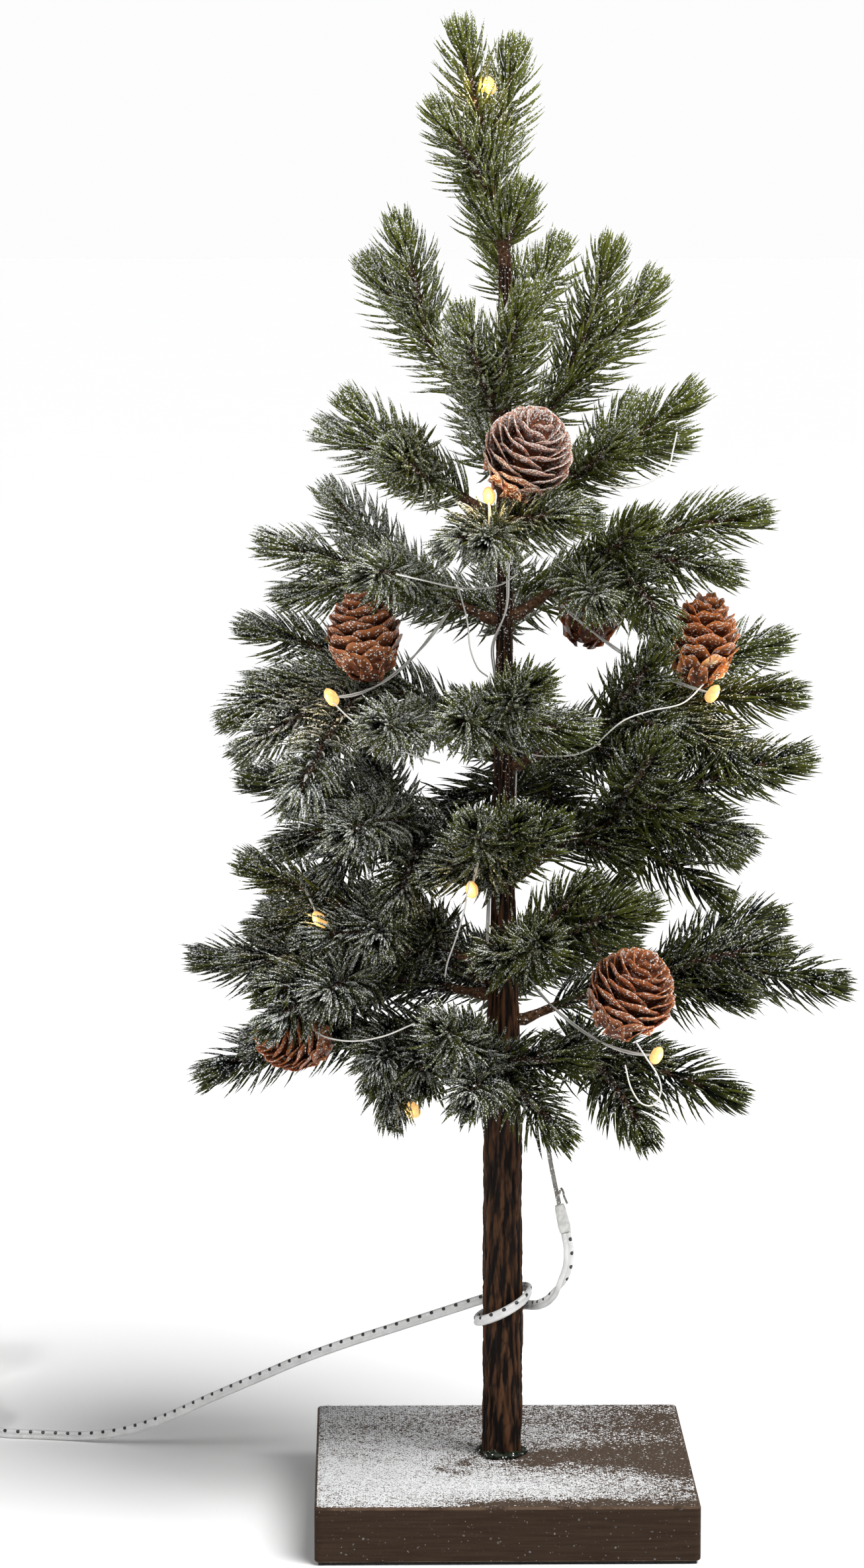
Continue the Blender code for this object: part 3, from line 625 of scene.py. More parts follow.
# Routes in millimetres, as in the part: the two lead wires, the splice, then the cord down to the trunk,
# round it one and a half times, over the base's rear left corner and along the surface to its coil
WIRE_ROUTE = (
    (7.6, -7.2, 171),
    (12.6, -13.6, 168),
    (16.4, -18.8, 158),
    (18.4, -21.0, 147),
    (20.2, -22.0, 138),
    (21.6, -22.4, 131.3),
)
SPLICE_TOP = (21.7, -22.4, 131)
SPLICE_FOOT = (24.2, -22.6, 120)
CORD_ROUTE = (
    (24.3, -22.6, 119.7),
    (25.4, -22.4, 113),
    (25.0, -21.2, 105),
    (22.0, -18.4, 97),
    (18.2, -13.6, 90.6),
    (14.8, -7.4, 87.0),
    (12.4, -0.6, 84.9),
    (8.2, 6.9, 83.2),
    (0.6, 10.5, 81.4),
    (-7.2, 7.7, 79.6),
    (-10.6, 0.4, 78.6),
    (-7.4, -7.6, 80.6),
    (0.2, -10.6, 84.4),
    (7.6, -7.5, 88.4),
    (10.8, 0.2, 91.0),
    (8.2, 7.6, 90.4),
    (1.0, 11.4, 87.4),
    (-8.0, 13.6, 83.8),
    (-24, 18.0, 77.4),
    (-42, 25.5, 69.6),
    (-62, 36.0, 60.4),
    (-82, 48.0, 50.0),
    (-102, 61.0, 38.0),
    (-121, 74.0, 26.4),
    (-139, 86.0, 15.2),
    (-157, 96.0, 6.8),
    (-174, 103.0, 2.8),
    (-192, 107.5, 2.1),
    (-206, 109.6, 2.1),
)
COIL_ENTRY = ((-211.6, 112.4, 2.2), (-214.9, 117.0, 2.3))
COIL_EXIT = ((-224.5, 125.6, 13.4), (-224.8, 131.8, 15.4))
TAIL_ROUTE = (
    (-225.6, 138, 16.7),
    (-227.4, 147, 17),
    (-230, 157, 17),
    (-232.6, 166, 17),
    (-234, 173, 17),
    (-234, 178.1, 17),
)
COIL_CENTRE = (-241, 126)
COIL_START = -9
COIL_OUTER_TURN = 27.2
COIL_COLUMNS = 5
COIL_LEVELS = 3
COLUMN_PITCH = 2.6
LEVEL_PITCH = 4.1
COIL_FIRST_LEVEL = 3.5
COIL_SAG = 1.3
COIL_STEPS = 24
TIE_COMPASS = 200


def coil_turns():
    """The coil's turns, in millimetres: each column is filled with turns, up and down by turns."""
    turns = COIL_COLUMNS * COIL_LEVELS
    angles = np.arange(turns * COIL_STEPS + 1) / COIL_STEPS
    turn = np.minimum(angles.astype(int), turns - 1)
    column, level = turn // COIL_LEVELS, turn % COIL_LEVELS
    level = np.where(column % 2, COIL_LEVELS - 1 - level, level)
    following = np.minimum(turn + 1, turns - 1)
    next_column, next_level = following // COIL_LEVELS, following % COIL_LEVELS
    next_level = np.where(next_column % 2, COIL_LEVELS - 1 - next_level, next_level)
    shift = smooth_step(angles - turn, 0.78, 1.0)
    column = column + (next_column - column) * shift
    level = level + (next_level - level) * shift
    degrees = COIL_START + angles * 360
    away = np.radians(degrees - TIE_COMPASS)
    sag = COIL_SAG * (1 - smooth_step(np.cos(away), 0.7, 0.98))
    radius = COIL_OUTER_TURN - COLUMN_PITCH * column
    x = COIL_CENTRE[0] + radius * np.cos(np.radians(degrees))
    y = COIL_CENTRE[1] + radius * np.sin(np.radians(degrees))
    return np.stack([x, y, COIL_FIRST_LEVEL + LEVEL_PITCH * level - sag], axis=1)


def twin_section():
    """Outline of two joined cores, (along the width, across it), and each point's way from the dots."""
    core, offset = CORD_CORE_RADIUS, CORD_WIDTH / 2 - CORD_CORE_RADIUS
    groove = math.acos(-offset / core)
    angles = np.linspace(-groove, groove, LOBE_POINTS)
    first = np.stack([offset + core * np.cos(angles), core * np.sin(angles)], axis=1)
    second = -first[1:-1]
    aside = np.abs(np.abs(angles) - math.radians(DOT_ANGLE)) * core
    far = np.full(len(second), 4 * core)
    return np.vstack([first, second]), np.concatenate([aside, far])


def cord_width_directions(path):
    """The way the cord's width points: sideways where it hangs, upright where it lies."""
    hanging = smooth_step(path[:, 2], 0.088, 0.108)[:, None]
    wanted = UP + (np.array((1.0, 0.1, 0.0)) - UP) * hanging
    tangents = tangents_of(path)
    wanted = wanted - (wanted * tangents).sum(axis=1, keepdims=True) * tangents
    return unit(wanted)


def make_cord():
    control = np.vstack([CORD_ROUTE, COIL_ENTRY, coil_turns(), COIL_EXIT, TAIL_ROUTE]) * MM
    path = smooth_route(control, CORD_STEP)
    section, aside = twin_section()
    sections = np.broadcast_to(section, (len(path), *section.shape))
    shape = swept(path, sections, cord_width_directions(path))
    along = np.repeat(np.arange(len(path)) * CORD_STEP, len(section))
    cord = mesh_object("lead_cord", shape, cord_finish(), along=along, aside=np.tile(aside, len(path)))
    settle(cord, "stand", "white_pvc", "cord_run", "cord_coil", "cord_tail")
    return cord, path


def lead_wire(name, side, finish):
    shift = bearing(WIRE_SIDE_COMPASS) * side * WIRE_SPACING
    path = smooth_route(np.array(WIRE_ROUTE) * MM + shift, 1.2 * MM)
    wire = mesh_object(name + "_strands", tube(path, WIRE_RADIUS, 10), finish)
    settle(wire, "stand", "clear_wire", name)


def make_splice():
    """Flattened sleeve over the two joints between the lead wires and the cord."""
    ends = np.array([SPLICE_TOP, SPLICE_FOOT]) * MM
    shares = np.linspace(0, 1, 13)
    path = ends[0] + (ends[1] - ends[0]) * shares[:, None]
    widths = np.interp(shares, (0, 0.12, 0.8, 1), (1.7, 2.1, 2.5, 2.2)) * MM
    depths = np.interp(shares, (0, 0.12, 0.8, 1), (1.15, 1.3, 1.5, 1.35)) * MM
    angles = np.arange(24) * math.tau / 24
    pinch = 1 - 0.16 * np.abs(np.sin(angles)) ** 6
    ring = np.stack([np.cos(angles), np.sin(angles) * pinch], axis=1)
    sections = ring[None] * np.stack([widths, depths], axis=1)[:, None]
    shape = swept(path, sections, carried_sides(path, (1.0, 0.1, 0)))
    sleeve = mesh_object("splice_sleeve_shell", shape, sleeve_finish())
    settle(sleeve, "stand", "white_sleeve", "splice_sleeve")
    return sleeve


FOLD_ENDS = (
    ((20.3, -23.3, 136.4), (21.0, -24.2, 135.0), (21.7, -24.0, 136.0), (22.0, -23.7, 137.2)),
    ((22.3, -22.0, 137.6), (23.2, -22.6, 136.4), (23.6, -22.8, 134.4), (24.8, -22.9, 131.6)),
)


def make_fold_ends(finish):
    """The ends of the bare wires, folded back out of the sleeve's mouth."""
    paths = [smooth_route(np.array(route) * MM, 0.5 * MM) for route in FOLD_ENDS]
    shape = merged([tube(path, 0.45 * MM, 8) for path in paths])
    ends = mesh_object("splice_fold_ends", shape, finish)
    settle(ends, "stand", "clear_wire")


# ---------------------------------------------------------------- adapter and coil tie


def rounded_box(name, low, high, radius, finish):
    """Box with rounded edges."""
    low, high = np.asarray(low, float), np.asarray(high, float)
    corners = np.array([[x, y, z] for x in (0, 1) for y in (0, 1) for z in (0, 1)], float)
    faces = [np.array([[0, 1, 3, 2], [4, 6, 7, 5], [0, 4, 5, 1], [2, 3, 7, 6], [0, 2, 6, 4], [1, 5, 7, 3]])]
    obj = mesh_object(name, (low + corners * (high - low), faces), finish)
    bevel = obj.modifiers.new("round", "BEVEL")
    bevel.width = radius
    bevel.segments = 4
    bevel.limit_method = "ANGLE"
    obj.modifiers.new("normals", "WEIGHTED_NORMAL")
    return obj


def lathe(profile, sides, centre, axis, side):
    """Points and faces of a (place along the axis, radius) profile turned about an axis."""
    profile = np.asarray(profile, float)
    ring = circle(sides)
    other = np.cross(axis, side)
    points = np.asarray(centre)[None, None] + profile[:, None, :1] * axis
    points = points + profile[:, None, 1:] * (ring[None, :, :1] * side + ring[None, :, 1:] * other)
    rings = len(profile)
    return points.reshape(-1, 3), [*ring_faces(rings, sides), *ring_caps(rings, sides)]


# Places from the housing and radii of a pin: collar, sleeve, bare metal and tip. Millimetres
PIN_PROFILE = (
    (0.2, 1.9),
    (0.2, 2.4),
    (2.0, 2.45),
    (2.6, 2.0),
    (9.6, 2.0),
    (10.0, 1.9),
    (17.2, 1.9),
    (18.6, 1.35),
    (19.0, 0.6),
)
PIN_SIDES = 24
SLEEVE_BANDS = 5
HOUSING_ROUND = 2.6 * MM
SEAM_GAP = 0.5 * MM
SEAM_SHARE = 0.42
SEAM_INSET = 0.9 * MM
GRIP_RIBS = 6
GRIP_START = 8 * MM
GRIP_PITCH = 4 * MM


def make_adapter():
    low, high = (np.array(corner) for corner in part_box("adapter_body"))
    white = plastic_finish("white_housing", (0.74, 0.74, 0.72))
    middle = low[0] + (high[0] - low[0]) * SEAM_SHARE
    front_high = (middle - SEAM_GAP / 2, high[1], high[2])
    back_low = (middle + SEAM_GAP / 2, low[1], low[2])
    front = rounded_box("adapter_front_shell", low, front_high, HOUSING_ROUND, white)
    back = rounded_box("adapter_back_shell", back_low, high, HOUSING_ROUND, white)
    core_low, core_high = low + SEAM_INSET, high - SEAM_INSET
    core_low[0], core_high[0] = middle - 4 * MM, middle + 4 * MM
    shadow = plastic_finish("seam_shadow", (0.30, 0.30, 0.29))
    core = rounded_box("adapter_seam", core_low, core_high, 1.8 * MM, shadow)
    pieces = [front, back, core]
    for obj in pieces:
        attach(obj, "stand")
    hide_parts("adapter_body")
    pieces.append(make_grip(low, high, middle, white))
    metal = metal_finish("pin_nickel", (0.66, 0.64, 0.60))
    for node in ("adapter_pin_front", "adapter_pin_rear"):
        pieces.append(make_pin(node, metal))
    pieces.append(make_relief(white))
    return pieces


def make_grip(low, high, middle, finish):
    """Low ribs across the top of the housing, where fingers pull it."""
    parts = []
    for k in range(GRIP_RIBS):
        x = middle + GRIP_START + k * GRIP_PITCH
        path = evenly(np.array([(x, low[1] + 7 * MM, high[2]), (x, high[1] - 7 * MM, high[2])]), 1 * MM)
        swell = np.sin(np.linspace(0, 1, len(path)) * math.pi) * 6 + 0.15
        parts.append(tube(path, 0.9 * MM * np.minimum(1, swell), 10))
    grip = mesh_object("adapter_grip_ribs", merged(parts), finish)
    settle(grip, "stand", "white_housing")
    return grip


def make_pin(node, metal):
    low, high = (np.array(corner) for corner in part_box(node))
    root = np.array((high[0], (low[1] + high[1]) / 2, (low[2] + high[2]) / 2))
    shape = lathe(np.array(PIN_PROFILE) * MM, PIN_SIDES, root, np.array((-1.0, 0, 0)), np.array((0, 1.0, 0)))
    sleeve = plastic_finish(node + "_sleeve", (0.60, 0.60, 0.58))
    slots = np.zeros(sum(len(group) for group in shape[1]), int)
    slots[: PIN_SIDES * SLEEVE_BANDS] = 1
    pin = mesh_object(node + "_shape", shape, [metal, sleeve], slots)
    sharp_above(pin, 35)
    settle(pin, "stand", "pin_nickel", node)
    return pin


def make_relief(finish):
    """Tapered, ribbed strain relief."""
    low, high = (np.array(corner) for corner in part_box("adapter_strain_relief"))
    root = np.array(((low[0] + high[0]) / 2, high[1], (low[2] + high[2]) / 2))
    length = high[1] - low[1]
    shares = np.linspace(0, 1, 41)
    taper = np.interp(shares, (0, 0.25, 1), (3.2, 3.2, 2.25)) * MM
    ribs = 0.35 * MM * np.clip(np.sin(shares * math.tau * 6), 0, 1) * (shares > 0.18)
    profile = np.stack([shares * length, taper - ribs], axis=1)
    shape = lathe(profile, 24, root, np.array((0, -1.0, 0)), np.array((1.0, 0, 0)))
    relief = mesh_object("adapter_relief_shape", shape, finish)
    settle(relief, "stand", "white_housing", "adapter_strain_relief")
    return relief


def make_coil_tie():
    """Wire twist tie: a flat band round the coil's section; its two ends, twisted together outside, are not
    made.
    """
    low, high = (np.array(corner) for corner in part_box("coil_tie"))
    centre = (low + high) / 2
    out = bearing(TIE_COMPASS)
    side = np.cross(UP, out)
    half_out, half_up = 7.3 * MM, (high[2] - low[2]) / 2 - 0.35 * MM
    angles = np.arange(64) * math.tau / 64
    square = (np.abs(np.cos(angles)) ** 5 + np.abs(np.sin(angles)) ** 5) ** (-1 / 5)
    ring = np.stack([np.cos(angles) * square * half_out, np.sin(angles) * square * half_up], axis=1)
    path = centre + ring[:, :1] * out + ring[:, 1:] * UP
    normals = unit(np.gradient(np.vstack([path[-1:], path, path[:1]]), axis=0)[1:-1])
    normals = np.cross(normals, side)
    half_width = np.array([-3, -2.7, 0, 2.7, 3, 2.7, 0, -2.7]) * MM
    rise = np.array([0, 0.22, 0.3, 0.22, 0, -0.22, -0.3, -0.22]) * MM
    points = path[:, None] + half_width[None, :, None] * side + rise[None, :, None] * normals[:, None]
    count = len(half_width)
    ring_index = np.arange(len(path))[:, None]
    corner = np.arange(count)[None]
    following = (ring_index + 1) % len(path)
    after = (corner + 1) % count
    quads = np.stack([ring_index * count + corner, ring_index * count + after,
                      following * count + after, following * count + corner], axis=-1)
    band = (points.reshape(-1, 3), [quads.reshape(-1, 4)])
    tie = mesh_object("coil_tie_band", band, plastic_finish("black_tie", (0.022, 0.022, 0.024)))
    settle(tie, "stand", "black_tie", "coil_tie")
    return tie


# ---------------------------------------------------------------- base and trunk


SNOW_GRID = 150
GRAIN_COUNT = 7500
SNOW_DEPTH = 0.22 * MM
BLOCK_BEVEL = 0.9 * MM
FOOT_CLEARANCE = 9 * MM
# Rings of the block's outline that lie on its edges, which get a pale painted highlight
HIGHLIGHT_RINGS = (1, 2, 8, 9, 10, 11)
CORNER_RADIUS = 2.2 * MM


def blob(x, y, centre, size, turn=0.0):
    """A soft spot that falls from 1, at a centre and with half sizes in millimetres."""
    angle = math.radians(turn)
    dx, dy = x - centre[0], y - centre[1]
    u = (dx * math.cos(angle) + dy * math.sin(angle)) / size[0]
    v = (dy * math.cos(angle) - dx * math.sin(angle)) / size[1]
    return np.exp(-(u**2 + v**2))


def snow_amount(x, y):
    """How thickly the block's top is dusted, from 0 to about 1, at places in millimetres."""
    places = np.stack([x, y, np.zeros_like(x)], axis=-1).reshape(-1, 3)
    drift = ripples(21, places, 46).reshape(x.shape)
    fine = ripples(22, places, (9, 5, 9)).reshape(x.shape)
    amount = 0.42 + 0.14 * drift + 0.10 * fine
    amount += 0.30 * smooth_step(-x, -20, 45)
    amount += 0.34 * blob(x, y, (10, -46), (62, 15)) + 0.20 * blob(x, y, (-45, -25), (40, 38))
    amount -= 0.75 * blob(x, y, (62, -8), (42, 16), -5) + 0.45 * blob(x, y, (80, -24), (20, 34))
    amount -= 0.45 * blob(x, y, (20, -3), (22, 7)) + 0.40 * blob(x, y, (12, -14), (9, 4))
    amount -= 0.42 * blob(x, y, (66, 46), (30, 30)) + 0.22 * blob(x, y, (-12, 52), (34, 18))
    amount -= 0.60 * blob(x, y, (-22, -24), (9, 3.5), -35) + 0.5 * blob(x, y, (-15, -14), (5, 6))
    front = smooth_step(-y + 5 * fine, 62, 70) * smooth_step(x + 22 * drift, -34, -6)
    amount -= 0.62 * front * (1 - 0.7 * blob(x, y, (62, -70), (12, 30)))
    amount -= 0.35 * smooth_step(-y, 71, 75) + 0.20 * smooth_step(-x, 72, 75)
    return np.clip(amount, 0.02, 1.05)


def block_profile(half, low, high, bevel):
    """Half widths and heights of the block's outline, from its underside's rim to its top's."""
    arc = np.radians(np.linspace(0, 90, 4))
    bottom = [(half - bevel + bevel * math.sin(a), low + bevel - bevel * math.cos(a)) for a in arc]
    top = [(half - bevel + bevel * math.cos(a), high - bevel + bevel * math.sin(a)) for a in arc]
    return bottom + [(half, low + (high - low) * s) for s in (0.06, 0.33, 0.66, 0.935)] + top


def corner_rounded(flat, half):
    """Places in a square of this half width, moved in where its corners are rounded."""
    inner = half - CORNER_RADIUS
    core = np.clip(flat, -inner, inner)
    past = np.abs(flat - core)
    longest = past.max(axis=-1, keepdims=True)
    reach = np.linalg.norm(past, axis=-1, keepdims=True)
    return core + (flat - core) * np.divide(longest, reach, out=np.ones_like(reach), where=reach > 0)


def square_ring():
    """Places round the rim of a square that reaches from -1 to 1."""
    walk = np.linspace(-1, 1, SNOW_GRID + 1)[:-1]
    ones = np.ones(SNOW_GRID)
    sides = ((walk, -ones), (ones, walk), (-walk, ones), (-ones, -walk))
    return np.vstack([np.stack(pair, axis=1) for pair in sides])


def block_sides(profile, centre):
    """Rings of square outline up the block, and whether each point is on an edge with the painted highlight.
    """
    ring = square_ring()
    points, edge = [], []
    for k, (width, height) in enumerate(profile):
        flat = centre + corner_rounded(ring * width, width)
        points.append(np.column_stack([flat, np.full(len(ring), height)]))
        edge.append(np.full(len(ring), float(k in HIGHLIGHT_RINGS)))
    return np.vstack(points), np.concatenate(edge), len(ring)


def block_top(width, centre, height):
    """A fine grid over the block's top, raised by its snow, and the snow's amount at each point."""
    grid = np.linspace(-1, 1, SNOW_GRID + 1)
    gx, gy = np.meshgrid(grid, grid, indexing="ij")
    flat = corner_rounded(np.stack([gx, gy], axis=-1) * width, width) + centre
    top = np.concatenate([flat, np.full((*gx.shape, 1), height)], axis=-1)
    snow = snow_amount(top[..., 0] / MM, top[..., 1] / MM)
    rough = ripples(23, top.reshape(-1, 3) / MM, (1.7, 1.7, 9)).reshape(snow.shape)
    inside = (np.abs(gx) < 0.999) & (np.abs(gy) < 0.999)
    top[..., 2] += np.where(inside, SNOW_DEPTH * snow + 0.10 * MM * rough * snow, 0)
    under_trunk = np.hypot(top[..., 0], top[..., 1]) < FOOT_CLEARANCE
    top[..., 2] = np.where(under_trunk, height - 0.1 * MM, top[..., 2])
    return top, snow


def block_shell(low, high):
    """The block's sides and underside, then its top, with their painted edge highlight and snow."""
    centre = (low[:2] + high[:2]) / 2
    profile = block_profile((high[0] - low[0]) / 2, low[2], high[2], BLOCK_BEVEL)
    sides, edge, count = block_sides(profile, centre)
    top, snow = block_top(profile[-1][0], centre, high[2])
    index = len(sides) + np.arange(snow.size).reshape(snow.shape)
    quads = np.stack([index[:-1, :-1], index[1:, :-1], index[1:, 1:], index[:-1, 1:]], axis=-1)
    faces = [*ring_faces(len(profile), count), np.arange(count)[::-1][None], quads.reshape(-1, 4)]
    attributes = {
        "edge": np.concatenate([edge, np.zeros(snow.size)]),
        "top": np.concatenate([np.zeros(len(sides)), np.ones(snow.size)]),
        "snow": np.concatenate([np.full(len(sides), -0.02), snow.ravel()]),
    }
    attributes["snow"][len(sides) - count : len(sides)] = 0.05
    return (np.vstack([sides, top.reshape(-1, 3)]), faces), attributes


def scattered(rng, count, low, high, weight):
    """Random places in millimetres, kept as often as their weight says."""
    places = rng.uniform(low, high, (count * 6, 2))
    kept = rng.random(len(places)) < weight(places[:, 0], places[:, 1])
    return places[kept][:count]


def crystals(places, sizes, rng):
    """Small tilted eight-sided grains."""
    base = np.array([(1, 0, 0), (-1, 0, 0), (0, 1, 0), (0, -1, 0), (0, 0, 0.7), (0, 0, -0.7)], float)
    tilt = unit(rng.normal(size=(len(places), 3)))
    other = unit(np.cross(tilt, rng.normal(size=(len(places), 3))))
    third = np.cross(tilt, other)
    axes = np.stack([tilt, other, third], axis=1)
    points = places[:, None] + np.einsum("kc,ncd->nkd", base, axes) * sizes[:, None, None]
    faces = np.array([(0, 2, 4), (2, 1, 4), (1, 3, 4), (3, 0, 4), (2, 0, 5), (1, 2, 5), (3, 1, 5), (0, 3, 5)])
    index = faces[None] + 6 * np.arange(len(places))[:, None, None]
    return points.reshape(-1, 3), [index.reshape(-1, 3)]


def make_block():
    low, high = (np.array(corner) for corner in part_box("base_block"))
    shape, attributes = block_shell(low, high)
    block = mesh_object("base_block_shell", shape, block_finish(), **attributes)
    sharp_above(block, 40)
    settle(block, "stand", "stained_block", "base_block")


def make_snow_grains():
    """Loose grains on the block's top, closest where the snow is thick."""
    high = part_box("base_block")[1]
    rng = np.random.default_rng(SEED)
    edge = (high.x - 1 * MM) / MM
    flat = scattered(rng, GRAIN_COUNT, -edge, edge, lambda x, y: snow_amount(x, y) ** 2)
    flat = flat[np.hypot(flat[:, 0], flat[:, 1]) > FOOT_CLEARANCE / MM]
    sizes = rng.uniform(0.14, 0.34, len(flat)) * MM
    lift = snow_amount(flat[:, 0], flat[:, 1]) * SNOW_DEPTH + sizes * 0.4
    places = np.column_stack([flat * MM, high.z + lift])
    grains = mesh_object("snow_grains", crystals(places, sizes, rng), grain_finish(), flat=True)
    settle(grains, "stand", "stained_block")


# Shares of the trunk's height and of its foot's radius, as in the part
TRUNK_TAPER = (
    (0, 1),
    (0.14, 0.97),
    (0.28, 0.98),
    (0.37, 0.76),
    (0.475, 0.59),
    (0.58, 0.45),
    (0.79, 0.38),
    (1, 0.30),
)
TRUNK_RADIUS = 7.8 * MM
TRUNK_HEIGHT = 477 * MM
TRUNK_SIDES = 120
TRUNK_RINGS = 420
BARK_STRETCH = 12 * MM
# Seed, share of the upright stretch, cell size and layers: fibres, cracks and bulges
BARK_LAYERS = ((31, 0.28, 0.36, 3), (32, 0.45, 0.55, 2), (33, 0.35, 2.6, 2))
TOUCH = 0.3 * MM
ROOT_RADIUS = 2.2 * MM
GLUE_SIDES = 72
GLUE_WAVE = 8
# Places out from the trunk and up from the block, round the bead's outline, in millimetres
GLUE_PROFILE = ((-0.4, 0.2), (0.8, 0.0), (1.6, 0.35), (1.9, 0.9), (1.2, 1.9), (0.2, 2.5), (-0.9, 2.7))
BASE_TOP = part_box("base_block")[1].z
TRUNK_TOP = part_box("trunk")[1].z


def trunk_radius(height):
    share = np.clip((np.asarray(height) - BASE_TOP) / TRUNK_HEIGHT, 0, 1)
    stops, widths = zip(*TRUNK_TAPER)
    return TRUNK_RADIUS * np.interp(share, stops, widths)


def bark_relief(ring, heights):
    """Ridges, from 0 to 1, and slow bulges of the moulded bark at each point of the trunk."""
    flat = np.broadcast_arrays(ring[None, :, 0], ring[None, :, 1], heights[:, None] / BARK_STRETCH)
    places = np.stack(flat, axis=-1).reshape(-1, 3)
    fibre, crack, bulge = (
        ripples(seed, places * (1, 1, upright), cell, layers).reshape(len(heights), -1)
        for seed, upright, cell, layers in BARK_LAYERS
    )
    ridge = np.clip(0.5 + 0.9 * fibre, 0, 1) * np.clip(0.5 + 2.2 * np.abs(crack), 0, 1)
    return ridge, bulge


def make_trunk():
    heights = np.linspace(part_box("trunk")[0].z, TRUNK_TOP, TRUNK_RINGS)
    ring = circle(TRUNK_SIDES)
    ridge, bulge = bark_relief(ring, heights)
    radii = trunk_radius(heights)[:, None]
    radius = radii + (ridge - 0.42 + 0.40 * bulge) * MM * np.minimum(1, radii / (5 * MM))
    upright = np.broadcast_to(heights[:, None], radius.shape)
    points = np.stack([ring[:, 0] * radius, ring[:, 1] * radius, upright], axis=-1)
    faces = [*ring_faces(TRUNK_RINGS, TRUNK_SIDES), *ring_caps(TRUNK_RINGS, TRUNK_SIDES)]
    frost = np.clip(0.02 * bulge - 0.06 + 0.16 * smooth_step(heights, 0.20, 0.34)[:, None], -0.06, 1)
    attributes = {"ridge": ridge.ravel(), "frost": frost.ravel()}
    trunk = mesh_object("trunk_bark", (points.reshape(-1, 3), faces), bark_finish(), **attributes)
    settle(trunk, "stand", "bark", "trunk")


def make_glue():
    """Uneven bead of dark glue round the trunk's foot, with crumbs of flock stuck in it."""
    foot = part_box("glue_collar")[0].z
    ring = circle(GLUE_SIDES)
    places = np.column_stack([ring * GLUE_WAVE, np.zeros(GLUE_SIDES)])
    wave = ripples(41, places, 7)
    points = []
    for reach, height in np.array(GLUE_PROFILE) * MM:
        radius = TRUNK_RADIUS + np.where(reach > 0, reach * (1 + 0.9 * wave), reach)
        points.append(np.column_stack([ring * radius[:, None], foot + height * (1 + 0.35 * wave)]))
    glue = mesh_object("glue_bead", (np.vstack(points), ring_faces(len(points), GLUE_SIDES)), glue_finish())
    glue.modifiers.new("smooth", "SUBSURF").levels = 1
    glue.modifiers["smooth"].render_levels = 1
    settle(glue, "stand", "dark_glue", "glue_collar")


def finish_cad_nodes():
    """The pieces under the block keep their CAD shape."""
    finishes = {"base_pad": foam_finish(), "trunk_screw": metal_finish("zinc_steel", (0.62, 0.62, 0.63))}
    finishes["screw_washer"] = finishes["trunk_screw"]
    for node, finish in finishes.items():
        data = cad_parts[node].data
        data.materials.clear()
        data.materials.append(finish)


# ---------------------------------------------------------------- branches


class Sprig(NamedTuple):
    """Where a sprig leaves its main stem (share of its length), and where its tip is.

    The tip's reach is from the trunk's axis, its compass turns from +X towards +Y, and its rise is
    above the branch's root. The bow lifts the middle of its curve. Millimetres and degrees.
    """

    start: float
    reach: float
    compass: float
    rise: float
    bow: float = 0


